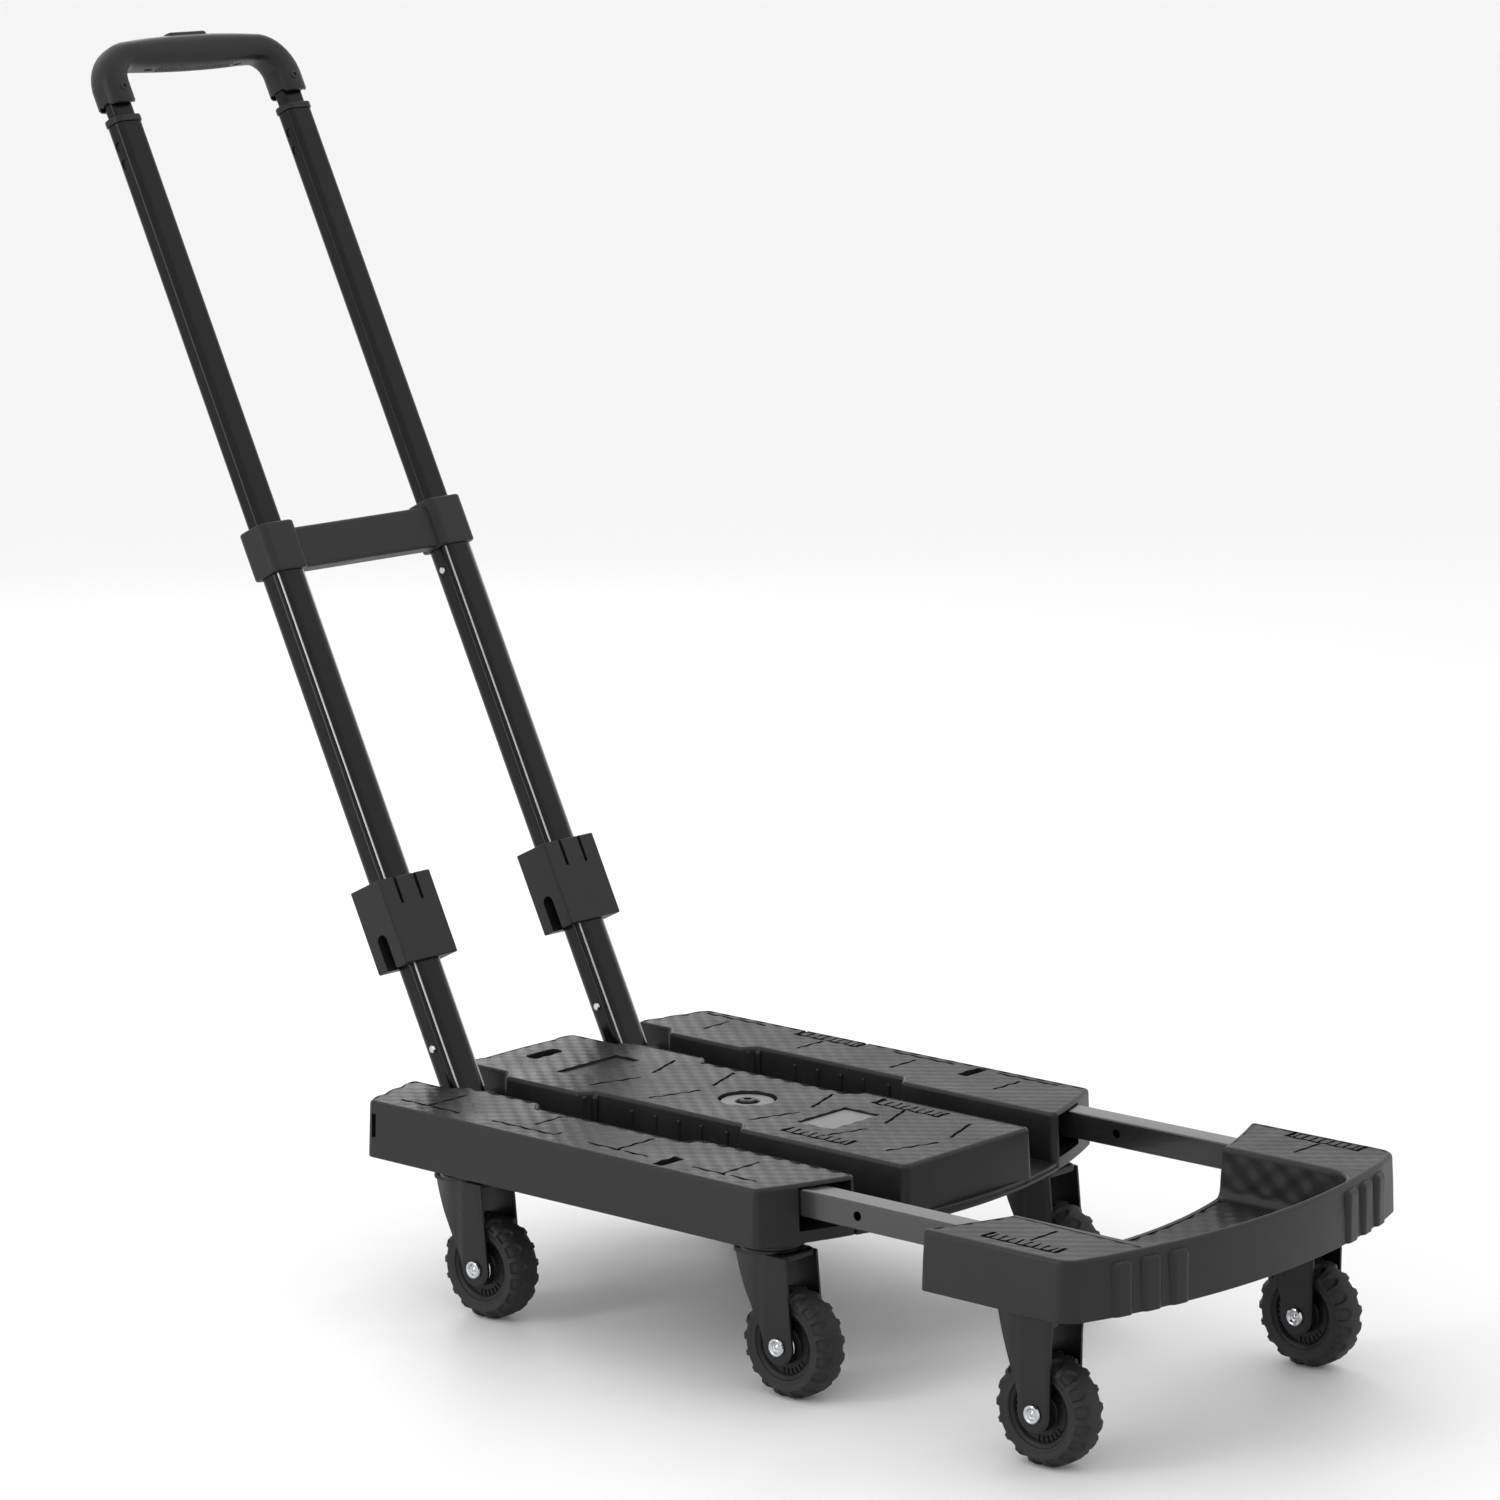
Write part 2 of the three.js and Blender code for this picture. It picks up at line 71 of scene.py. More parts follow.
RIM = 3                        # rounding of the panels' top edges
TEXTURE_INSET = 3.4            # from a panel's edge to its embossed field
TEXTURE_DEPTH = 0.85
BOLT_Y = 165
WASHER_SEAT = {"radius": 21, "deep": 5}
LABEL_SEAT = {"half": 26, "front": 65, "rear": 97, "deep": 2.6}
REAR_SEAT = {"half": 32, "front": 296, "rear": 320, "deep": 2.0}
OVAL_SLOT = {"long": 32, "wide": 13, "y": 362}
STRAP_SLOT = {"inner": 150, "outer": 174, "front": 88, "rear": 98}
ABOVE = DECK_TOP + 5           # clear of the deck, for whatever is cut from above

NOSE_GAP = 140
NOSE_APEX = 293
NOSE_BOW = 0.00092
NOSE_WALL = 6
WELL_HALF = 112
RIB_X = (94, 117, 140)         # rounded ribs at the nose's front corners
SLIDE_X = 139
SLIDE_SIDE = 19
SLIDE_TOP = 146.5

LEG_X = 86
LEAN = math.radians(26.5)
TO_DECK = 20.1                 # hinge axis to deck surface, along the leg
LEG = {"wide": 29, "deep": 22, "round": 8}
MIDDLE = {"wide": 25, "deep": 16, "round": 5.5}
UPPER = {"wide": 20.6, "deep": 11.2, "round": 3.5}

WHEEL_R = 37.5
FORK_FACE = 17.5               # outer face of the fork sides
SIDES = (("left", -1), ("right", 1))

# the row frame's y, in mm, of the side panels' front corners
Y0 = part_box("platform_top")[0].y / MM + FRONT_BULGE


# ---------------------------------------------------------------- outlines
def rounded(corners, step=15):
    """An outline through (x, y, radius) corners, each turned with an arc."""
    points = []
    count = len(corners)
    for i, (x, y, radius) in enumerate(corners):
        here = np.array((x, y), float)
        if radius == 0:
            points.append(here)
            continue
        to_last = np.array(corners[i - 1][:2]) - here
        to_next = np.array(corners[(i + 1) % count][:2]) - here
        to_last /= np.linalg.norm(to_last)
        to_next /= np.linalg.norm(to_next)
        half = math.acos(np.clip(to_last @ to_next, -1, 1)) / 2
        middle = to_last + to_next
        centre = here + middle / np.linalg.norm(middle) * radius / math.sin(half)
        start = here + to_last * radius / math.tan(half) - centre
        sweep = math.pi - 2 * half
        turn = math.copysign(sweep, to_next[0] * to_last[1] - to_next[1] * to_last[0])
        steps = max(2, math.ceil(math.degrees(sweep) / step))
        for k in range(steps + 1):
            c, s = math.cos(turn * k / steps), math.sin(turn * k / steps)
            points.append(centre + (start[0] * c - start[1] * s, start[0] * s + start[1] * c))
    return np.array(points)


def rounded_rect(wide, deep, radius, step=15):
    a, b = wide / 2, deep / 2
    return rounded([(-a, -b, radius), (a, -b, radius), (a, b, radius), (-a, b, radius)], step)


def plan_box(x0, x1, y0, y1, radius):
    """A rounded rectangle between two corners."""
    return rounded([(x0, y0, radius), (x1, y0, radius), (x1, y1, radius), (x0, y1, radius)])


def circle(x, y, radius, sides=48):
    angles = np.linspace(0, 2 * math.pi, sides, endpoint=False)
    return np.column_stack([x + radius * np.cos(angles), y + radius * np.sin(angles)])


def along(start, stop, spacing, edge):
    """Corners without rounding along y = edge(x)."""
    steps = max(1, round(abs(stop - start) / spacing))
    return [(x, edge(x), 0) for x in np.linspace(start, stop, steps + 1)]


def mirrored(outline):
    return np.asarray(outline)[::-1] * (-1, 1)


def grown(outline, grow):
    """The outline moved outwards by grow, with mitred corners."""
    points = np.asarray(outline, float)
    before = points - np.roll(points, 1, 0)
    after = np.roll(points, -1, 0) - points
    n1 = np.column_stack([before[:, 1], -before[:, 0]])
    n2 = np.column_stack([after[:, 1], -after[:, 0]])
    n1 /= np.linalg.norm(n1, axis=1, keepdims=True)
    n2 /= np.linalg.norm(n2, axis=1, keepdims=True)
    mitre = n1 + n2
    return points + grow * mitre * 2 / (mitre ** 2).sum(1, keepdims=True)


# ---------------------------------------------------------------- solids: (vertices, faces), mm
def loft(rings):
    """A closed solid through rings of equal length, capped at both ends."""
    n = len(rings[0])
    faces = [tuple(range(n))[::-1]]
    for k in range(len(rings) - 1):
        low, high = k * n, (k + 1) * n
        faces += [(low + i, low + (i + 1) % n, high + (i + 1) % n, high + i) for i in range(n)]
    faces.append(tuple(range((len(rings) - 1) * n, len(rings) * n)))
    return np.vstack(rings), faces


def stack(outline, layers):
    """A closed solid from one outline at (height, outward growth) layers, lowest first."""
    rings = []
    for height, grow in layers:
        flat = grown(outline, grow)
        rings.append(np.column_stack([flat, np.full(len(flat), float(height))]))
    return loft(rings)


def rim(top, radius, inset=0.0, steps=4):
    """Layers that round a top edge."""
    angles = [math.pi / 2 * k / steps for k in range(steps + 1)]
    return [(top - radius * (1 - math.sin(a)), inset - radius * (1 - math.cos(a))) for a in angles]


def foot(bottom, radius, inset=0.0, steps=3):
    """Layers that round a bottom edge."""
    return [(2 * bottom - z, grow) for z, grow in reversed(rim(bottom, radius, inset, steps))]


def slab(outline, low, high, top=0.0, bottom=0.0):
    lower = foot(low, bottom) if bottom else [(low, 0)]
    upper = rim(high, top) if top else [(high, 0)]
    return stack(outline, lower + upper)


def box(x0, x1, y0, y1, z0, z1):
    return slab([(x0, y0), (x1, y0), (x1, y1), (x0, y1)], z0, z1)


def lathe(profile, sides=48):
    """A ring turned about the X axis from a closed profile of (x, radius) points."""
    profile = np.asarray(profile, float)
    n = len(profile)
    verts = []
    for k in range(sides):
        angle = 2 * math.pi * k / sides
        verts.append(np.column_stack([profile[:, 0], profile[:, 1] * math.cos(angle),
                                      profile[:, 1] * math.sin(angle)]))
    return np.vstack(verts), ring_faces(sides, n)


def ring_faces(sides, n):
    faces = []
    for k in range(sides):
        here, there = k * n, (k + 1) % sides * n
        faces += [(here + i, there + i, there + (i + 1) % n, here + (i + 1) % n) for i in range(n)]
    return faces


def turned(solid, matrix):
    """The solid under a 4x4 matrix."""
    verts, faces = solid
    m = np.array(matrix)
    return verts @ m[:3, :3].T + m[:3, 3], faces


def moved(solid, x=0.0, y=0.0, z=0.0):
    return solid[0] + (x, y, z), solid[1]


def flipped(solid):
    """The solid mirrored left to right."""
    verts, faces = solid
    return verts * (-1, 1, 1), [face[::-1] for face in faces]


def together(*solids):
    """Several solids as one mesh."""
    verts, faces, start = [], [], 0
    for v, f in solids:
        verts.append(v)
        faces += [tuple(i + start for i in face) for face in f]
        start += len(v)
    return np.vstack(verts), faces


def mesh_of(solid, scale=1.0):
    mesh = bpy.data.meshes.new("solid")
    mesh.from_pydata((solid[0] * scale).tolist(), [], solid[1])
    work = bmesh.new()
    work.from_mesh(mesh)
    bmesh.ops.recalc_face_normals(work, faces=work.faces)
    work.to_mesh(mesh)
    work.free()
    return mesh


def carved(base, *steps):
    """base after each (operation, solid) step, as one closed solid."""
    made = []
    for solid in (base, *(s for _, s in steps)):
        obj = bpy.data.objects.new("work", mesh_of(solid))
        bpy.context.scene.collection.objects.link(obj)
        made.append(obj)
    target = made[0]
    for (operation, _), cutter in zip(steps, made[1:]):
        modifier = target.modifiers.new("carve", "BOOLEAN")
        modifier.operation = operation
        modifier.solver = "MANIFOLD"
        modifier.object = cutter
    bpy.context.view_layer.update()
    result = target.evaluated_get(bpy.context.evaluated_depsgraph_get()).to_mesh()
    verts = np.empty(len(result.vertices) * 3)
    result.vertices.foreach_get("co", verts)
    faces = [tuple(p.vertices) for p in result.polygons]
    for obj in made:
        mesh = obj.data
        bpy.data.objects.remove(obj)
        bpy.data.meshes.remove(mesh)
    return verts.reshape(-1, 3), faces


def less(base, *solids):
    return carved(base, *[("DIFFERENCE", s) for s in solids])


def plus(base, *solids):
    return carved(base, *[("UNION", s) for s in solids])


def common(base, solid):
    return carved(base, ("INTERSECT", solid))


# ---------------------------------------------------------------- pieces
def smooth(obj, sharp_degrees):
    """Smooth shading that keeps hard edges and flat faces flat, baked into the mesh."""
    obj.data.polygons.foreach_set("use_smooth", [True] * len(obj.data.polygons))
    obj.data.set_sharp_from_angle(angle=math.radians(sharp_degrees))
    weighted = obj.modifiers.new("flat faces", "WEIGHTED_NORMAL")
    weighted.keep_sharp = True
    bpy.context.view_layer.update()
    graph = bpy.context.evaluated_depsgraph_get()
    shown = obj.evaluated_get(graph)
    baked = bpy.data.meshes.new_from_object(shown, preserve_all_data_layers=True, depsgraph=graph)
    obj.modifiers.clear()
    obj.data = baked


def piece(name, solid, material, body, slot, stands_for=(), sharp=32, place=None):
    """A solid in the cart's frame as a piece that rides on a body. place, a row frame point in
    metres, is given where the solid is built about its own centre."""
    shift = (0, Y0, 0) if place is None else (0, 0, 0)
    obj = bpy.data.objects.new(name, mesh_of(moved(solid, *shift), MM))
    bpy.context.scene.collection.objects.link(obj)
    obj.data.materials.append(material)
    smooth(obj, sharp)
    if place is not None:
        obj.location = place
    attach(obj, body)
    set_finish(obj, slot)
    if stands_for:
        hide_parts(*stands_for)
    return obj


def copy_piece(source, name, place, body, stands_for):
    """Another piece with the same mesh at another place."""
    obj = bpy.data.objects.new(name, source.data)
    bpy.context.scene.collection.objects.link(obj)
    obj.location = place
    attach(obj, body)
    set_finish(obj, source["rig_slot"])
    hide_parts(*stands_for)
    return obj


def centre_of(node):
    low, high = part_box(node)
    return (low + high) / 2


# ---------------------------------------------------------------- materials
def surface(name, colour, roughness, metallic=0.0, specular=0.5, coat=0.0, grain=(1500, 0.1),
            spread=0.06, stretch=(1, 1, 1), tint=0.25):
    """A procedural finish: fine grain in the relief, slow changes in colour and gloss."""
    material = bpy.data.materials.new(name)
    material.use_nodes = True
    nodes, links = material.node_tree.nodes, material.node_tree.links
    shader = nodes["Principled BSDF"]
    shader.inputs["Metallic"].default_value = metallic
    shader.inputs["Specular IOR Level"].default_value = specular
    shader.inputs["Coat Weight"].default_value = coat
    shader.inputs["Coat Roughness"].default_value = 0.08
    where = nodes.new("ShaderNodeTexCoord")
    scaled = nodes.new("ShaderNodeMapping")
    scaled.inputs["Scale"].default_value = stretch
    links.new(where.outputs["Object"], scaled.inputs["Vector"])

    fine = nodes.new("ShaderNodeTexNoise")
    fine.inputs["Scale"].default_value = grain[0]
    fine.inputs["Detail"].default_value = 3
    links.new(scaled.outputs["Vector"], fine.inputs["Vector"])
    relief = nodes.new("ShaderNodeBump")
    relief.inputs["Strength"].default_value = grain[1]
    relief.inputs["Distance"].default_value = 0.0004
    links.new(fine.outputs["Fac"], relief.inputs["Height"])
    links.new(relief.outputs["Normal"], shader.inputs["Normal"])

    slow = nodes.new("ShaderNodeTexNoise")
    slow.inputs["Scale"].default_value = 22
    slow.inputs["Detail"].default_value = 5
    links.new(scaled.outputs["Vector"], slow.inputs["Vector"])
    gloss = nodes.new("ShaderNodeMapRange")
    gloss.inputs["From Min"].default_value = 0.3
    gloss.inputs["From Max"].default_value = 0.7
    gloss.inputs["To Min"].default_value = max(0.02, roughness - spread)
    gloss.inputs["To Max"].default_value = min(1.0, roughness + spread)
    links.new(slow.outputs["Fac"], gloss.inputs["Value"])
    links.new(gloss.outputs["Result"], shader.inputs["Roughness"])

    shades = nodes.new("ShaderNodeValToRGB")
    shades.color_ramp.elements[0].position = 0.32
    shades.color_ramp.elements[1].position = 0.68
    shades.color_ramp.elements[0].color = (*[c * (1 - tint) for c in colour], 1)
    shades.color_ramp.elements[1].color = (*[min(1, c * (1 + tint)) for c in colour], 1)
    mixed = nodes.new("ShaderNodeMix")
    mixed.data_type = "FLOAT"
    mixed.inputs["Factor"].default_value = 0.35
    links.new(slow.outputs["Fac"], mixed.inputs["A"])
    links.new(fine.outputs["Fac"], mixed.inputs["B"])
    links.new(mixed.outputs["Result"], shades.inputs["Fac"])
    links.new(shades.outputs["Color"], shader.inputs["Base Color"])
    return material


FINISH = {
    "deck": surface("deck plastic", (0.0095, 0.0097, 0.0102), 0.42, specular=0.32, grain=(1300, 0.30)),
    "cover": surface("cover plastic", (0.007, 0.0071, 0.0075), 0.5, specular=0.25, grain=(1300, 0.25)),
    "tyre": surface("tyre rubber", (0.019, 0.019, 0.02), 0.62, specular=0.28, grain=(900, 0.35), tint=0.35),
    "hub": surface("hub plastic", (0.005, 0.005, 0.0053), 0.38, specular=0.25, grain=(1500, 0.15)),
    "fork": surface("fork coat", (0.006, 0.0061, 0.0066), 0.36, specular=0.28, coat=0.05,
                    grain=(2200, 0.12)),
    "chrome": surface("chrome", (0.55, 0.56, 0.58), 0.16, metallic=1.0, grain=(700, 0.02), spread=0.04,
                      tint=0.04),
    "steel": surface("zinc steel", (0.36, 0.365, 0.38), 0.34, metallic=1.0, grain=(900, 0.08), tint=0.12),
    "dark_steel": surface("dark steel", (0.03, 0.031, 0.034), 0.4, metallic=0.7, grain=(900, 0.1), tint=0.2),
    "slide": surface("slide tube coat", (0.012, 0.0122, 0.0128), 0.24, specular=0.75, coat=0.2,
                     grain=(500, 0.08), spread=0.05, stretch=(1, 0.04, 1), tint=0.12),
    "tube": surface("gloss black coat", (0.003, 0.003, 0.0033), 0.2, specular=0.2, coat=0.04,
                    grain=(1800, 0.03), spread=0.04),
    "grip": surface("grip plastic", (0.006, 0.006, 0.0064), 0.40, specular=0.32, grain=(1800, 0.2)),
    "block": surface("block plastic", (0.010, 0.0102, 0.0108), 0.5, specular=0.32, grain=(1500, 0.3)),
    "pale": surface("pale grey plastic", (0.15, 0.152, 0.157), 0.45, grain=(1200, 0.1), tint=0.06),
}


# ---------------------------------------------------------------- embossed fields
def wave(t):
    """A triangle wave from -1 to 1 with slightly rounded peaks."""
    soft = 0.96
    return np.arcsin(soft * np.cos(2 * math.pi * t)) / math.asin(soft)


def diamonds(x, y, wide, long):
    """Staggered facets, wide apart along x and long apart along y, from -1 to 1."""
    p = x / wide + y / long
    q = x / wide - y / long
    return (wave(p) + wave(q)) / 2


def embossed(outline, level, depth, wide=13.6, long=16.6, cells=8):
    """What the mould's embossed plate takes away: everything above a field of facets whose tops
    are at level, inside an outline."""
    lowest, highest = np.min(outline, 0) - 2, np.max(outline, 0) + 2
    xs = np.arange(lowest[0], highest[0] + wide / cells, wide / cells)
    ys = np.arange(lowest[1], highest[1] + long / cells, long / cells)
    columns, rows = len(xs), len(ys)
    gx, gy = np.meshgrid(xs, ys)
    gz = level - depth / 2 + diamonds(gx, gy, wide, long) * depth / 2
    field = np.column_stack([gx.ravel(), gy.ravel(), gz.ravel()])
    border = [*range(columns - 1),
              *[r * columns + columns - 1 for r in range(rows - 1)],
              *[(rows - 1) * columns + c for c in range(columns - 1, 0, -1)],
              *[r * columns for r in range(rows - 1, 0, -1)]]
    lid = field[border].copy()
    lid[:, 2] = level + 4
    faces = [(r * columns + c, (r + 1) * columns + c, (r + 1) * columns + c + 1, r * columns + c + 1)
             for r in range(rows - 1) for c in range(columns - 1)]
    start = len(field)
    n = len(border)
    faces += [(border[i], border[(i + 1) % n], start + (i + 1) % n, start + i) for i in range(n)]
    faces.append(tuple(range(start, start + n)))
    return common((np.vstack([field, lid]), faces), slab(outline, level - 8, level + 3))


# ---------------------------------------------------------------- engraved marks
MARK_WIDE = 2.6
MARK_DEEP = 3.0


def stroke(x0, y0, x1, y1, wide=MARK_WIDE):
    """A straight engraved line."""
    a, b = np.array((x0, y0), float), np.array((x1, y1), float)
    run = (b - a) / np.linalg.norm(b - a)
    side = np.array((-run[1], run[0])) * wide / 2
    corners = [a - side, b - side, b + side, a + side]
    return slab(corners, DECK_TOP - MARK_DEEP, ABOVE)


def comb(x, y0, y1, reach, pitch=7.2):
    """A bar along y with teeth towards x + reach, the last tooth twice as wide."""
    half = MARK_WIDE / 2
    teeth = [stroke(x + math.copysign(half, reach), y, x + reach, y, MARK_WIDE * 0.8)
             for y in np.arange(y0 + pitch, y1 - pitch / 2, pitch)]
    ends = [stroke(x + math.copysign(half, reach), y, x + reach * 1.15, y, MARK_WIDE * 1.4)
            for y in (y0 + MARK_WIDE * 0.7, y1 - MARK_WIDE * 0.7)]
    return stroke(x, y0, x, y1), together(*teeth, *ends)


# ---------------------------------------------------------------- platform
def front_edge(x):
    return -FRONT_BULGE * (1 - (x / HALF) ** 2)


def rear_edge(x):
    return LENGTH + REAR_BULGE * (1 - (x / HALF) ** 2)


SCALLOP = 21.5                 # pitch of the rear edge's scallops
SCALLOP_DEEP = 2.6


def scalloped(x):
    """The rear edge of the panels, in shallow lobes."""
    lobe = abs(math.sin(math.pi * (abs(x) - POCKET_OUT) / SCALLOP)) ** 0.6
    return rear_edge(x) + SCALLOP_DEEP * lobe


def centre_scalloped(x):
    """The middle panel's rear edge, with one lobe at each end."""
    from_end = (POCKET_IN - abs(x)) / SCALLOP
    lobe = abs(math.sin(math.pi * from_end)) ** 0.6 if 0 < from_end < 1 else 0
    return rear_edge(x) + SCALLOP_DEEP * lobe


RAMP = 7                       # length of the slopes between groove and pocket
PANEL_ROUND = 4.4              # corners in plan, larger than the rounding of the top edge


def side_outline():
    """The right panel in plan."""
    inner = GROOVE_OUT
    return rounded([
        (HALF, 0, 5),
        (HALF, LENGTH, 6),
        *along(HALF - 9, POCKET_OUT + 6, 2, scalloped),
        (POCKET_OUT, rear_edge(POCKET_OUT), PANEL_ROUND),
        (POCKET_OUT, REAR_POCKET + 2, PANEL_ROUND),
        (inner, REAR_POCKET - RAMP, PANEL_ROUND),
        (inner, POCKET[1] + RAMP, PANEL_ROUND),
        (POCKET_OUT, POCKET[1] - 1, PANEL_ROUND),
        (POCKET_OUT, POCKET[0] + 1, PANEL_ROUND),
        (inner, POCKET[0] - RAMP, PANEL_ROUND),
        (inner, front_edge(inner), 5),
        *along(inner + 12, HALF - 12, 12, front_edge),
    ])


def centre_outline():
    """The middle panel in plan."""
    right = [
        (GROOVE_IN, CENTRE_FRONT, 6),
        (GROOVE_IN, POCKET[0] - RAMP, PANEL_ROUND),
        (POCKET_IN, POCKET[0] + 1, PANEL_ROUND),
        (POCKET_IN, POCKET[1] - 1, PANEL_ROUND),
        (GROOVE_IN, POCKET[1] + RAMP, PANEL_ROUND),
        (GROOVE_IN, REAR_POCKET - RAMP, PANEL_ROUND),
        (POCKET_IN, REAR_POCKET + 2, PANEL_ROUND),
        (POCKET_IN, rear_edge(POCKET_IN), PANEL_ROUND),
    ]
    left = [(-x, y, r) for x, y, r in reversed(right)]
    return rounded([*right, *along(POCKET_IN - 8, 8 - POCKET_IN, 2, centre_scalloped), *left])


def panel_layers(draft_top=-0.7, draft_bottom=0.6):
    """Heights of a panel's wall, a little wider at the foot."""
    return foot(SKIRT_BOTTOM + 0.2, 0.8, draft_bottom) + rim(DECK_TOP, RIM, draft_top)


RIB_Y = (133, 157, 178, 200, 222)


def wall_ribs(x, toward):
    """Thin upright ribs with domed tops on a pocket wall, and a pair of posts at its rear step."""
    ribs = []
    for y in RIB_Y:
        ribs.append(slab(circle(x - toward * 0.3, y, 1.5, 16), FLOOR_TOP - 1, 143, top=1.3))
    for y in (POCKET[1] - 1, POCKET[1] + 5.5):
        reach = 0.2 if y < POCKET[1] else 4.6
        ribs.append(slab(circle(x + toward * reach, y, 2.6, 20), FLOOR_TOP - 1, 147.4, top=2.2))
    return ribs


def side_marks():
    """Engraved marks of the right panel: bars along y, a comb and stems."""
    bar, teeth = comb(165, 203, 265, 12)
    bars = [bar, stroke(171, 298, 171, 356), stroke(171, 118, 171, 174), stroke(171, 22, 171, 78)]
    stems = [stroke(133, y, 162, y) for y in (326, 234, 146, 50)]
    return together(*bars), together(teeth, *stems)


def left_marks():
    """Engraved marks of the left panel: broken bars with short hooks, and stems."""
    runs = ((198, 258), (290, 346), (137, 167), (112, 134), (42, 72), (14, 38))
    bars = [stroke(-162, a, -162, b) for a, b in runs]
    hooks = [stroke(-160.9, 199, -154, 199), stroke(-150, 228, -124, 228)]
    stems = [stroke(-160.9, y, -124, y) for y in (320, 140, 45)]
    return together(*bars), together(*hooks, *stems)


def centre_marks():
    """Two combs with stems, and chevrons whose arms stop short of each other."""
    left_bar, left_teeth = comb(-51, 30, 90, 11)
    right_bar, right_teeth = comb(48, 30, 92, 12)
    arms = []
    for y in (205, 112, -13, 262):
        arms += [stroke(-45, y + 13, -5, y, 2.6), stroke(10, y + 2, 48, y + 15)]
    arms += [stroke(-40, 57, -8, 47, 2.4), stroke(10, 47, 46.8, 60)]
    return together(left_bar, right_bar), together(left_teeth, right_teeth), together(*arms)


def side_panel(sign):
    outline = side_outline() if sign > 0 else mirrored(side_outline())
    solid = stack(outline, panel_layers())
    tube = SLIDE_SIDE / 2 + 1
    window_in, window_out = 111.5, 150
    low, high = sorted((sign * window_in, sign * window_out))
    window = box(low, high, -50, 24, 117.5, 147.4)
    x = sign * SLIDE_X
    tunnel = box(x - tube, x + tube, 20, 320, SLIDE_TOP - SLIDE_SIDE - 1, SLIDE_TOP + 0.6)
    slot_low, slot_high = sorted((sign * STRAP_SLOT["inner"], sign * STRAP_SLOT["outer"]))
    strap_slot = slab(plan_box(slot_low, slot_high, STRAP_SLOT["front"], STRAP_SLOT["rear"], 2), 124, ABOVE)
    rear_slot = box(*sorted((sign * 176, sign * 190)), 354.5, 358.5, 124, 141)
    marks = left_marks() if sign < 0 else side_marks()
    field = embossed(grown(outline, -TEXTURE_INSET), DECK_TOP, TEXTURE_DEPTH)
    solid = less(solid, field, window, tunnel, strap_slot, rear_slot, *marks)
    return plus(solid, *wall_ribs(sign * POCKET_OUT, -sign))


def centre_panel():
    outline = centre_outline()
    solid = stack(outline, [(FLOOR_TOP - 1, 0.9), *rim(DECK_TOP, RIM, -0.9)])
    field = embossed(grown(outline, -TEXTURE_INSET), DECK_TOP, TEXTURE_DEPTH)
    washer_seat = slab(circle(0, BOLT_Y, WASHER_SEAT["radius"], 64), DECK_TOP - WASHER_SEAT["deep"], ABOVE)
    seats = [slab(plan_box(-seat["half"], seat["half"], seat["front"], seat["rear"], 1),
                  DECK_TOP - seat["deep"], ABOVE) for seat in (LABEL_SEAT, REAR_SEAT)]
    oval_plan = rounded_rect(OVAL_SLOT["long"], OVAL_SLOT["wide"], 6.4) + (0, OVAL_SLOT["y"])
    oval = slab(oval_plan, 120, ABOVE)
    solid = less(solid, field, washer_seat, *seats, oval, *centre_marks())
    for sign in (-1, 1):
        solid = plus(solid, *wall_ribs(sign * POCKET_IN, sign))
    return solid


def deck_floor():
    """Groove floors, ending in a double-lipped ledge at the front and rear."""
    reach = GROOVE_OUT + 2
    outline = rounded([*along(-reach, reach, 10, front_edge), *along(reach, -reach, 10, rear_edge)])
    lips = [(109, 0.2), (109.4, 0.8), (111.4, 0.8), (111.8, -0.2), (112.4, -0.6), (112.8, -0.6),
            (113.2, 0), (114.4, 0), (FLOOR_TOP, -0.6)]
    return stack(outline, lips)


def bottom_cover():
    """The flat cover under the platform, with shallow stiffening ribs."""
    outline = rounded([(-HALF, 0, 5), *along(-HALF + 10, HALF - 10, 10, front_edge), (HALF, 0, 5),
                       (HALF, LENGTH, 6), *along(HALF - 10, -HALF + 10, 10, rear_edge), (-HALF, LENGTH, 6)])
    low = SKIRT_BOTTOM
    plate = stack(grown(outline, -1.5), [(low, -0.6), (low + 0.6, 0), (low + 2.5, 0)])
    ribs = [box(x - 1, x + 1, 40, 330, low - 1.6, low + 1) for x in (-60, -20, 20, 60)]
    ribs += [box(-90, 90, y - 1, y + 1, low - 1.2, low + 1) for y in (60, 120, 200, 270, 320)]
    return plus(plate, *ribs)


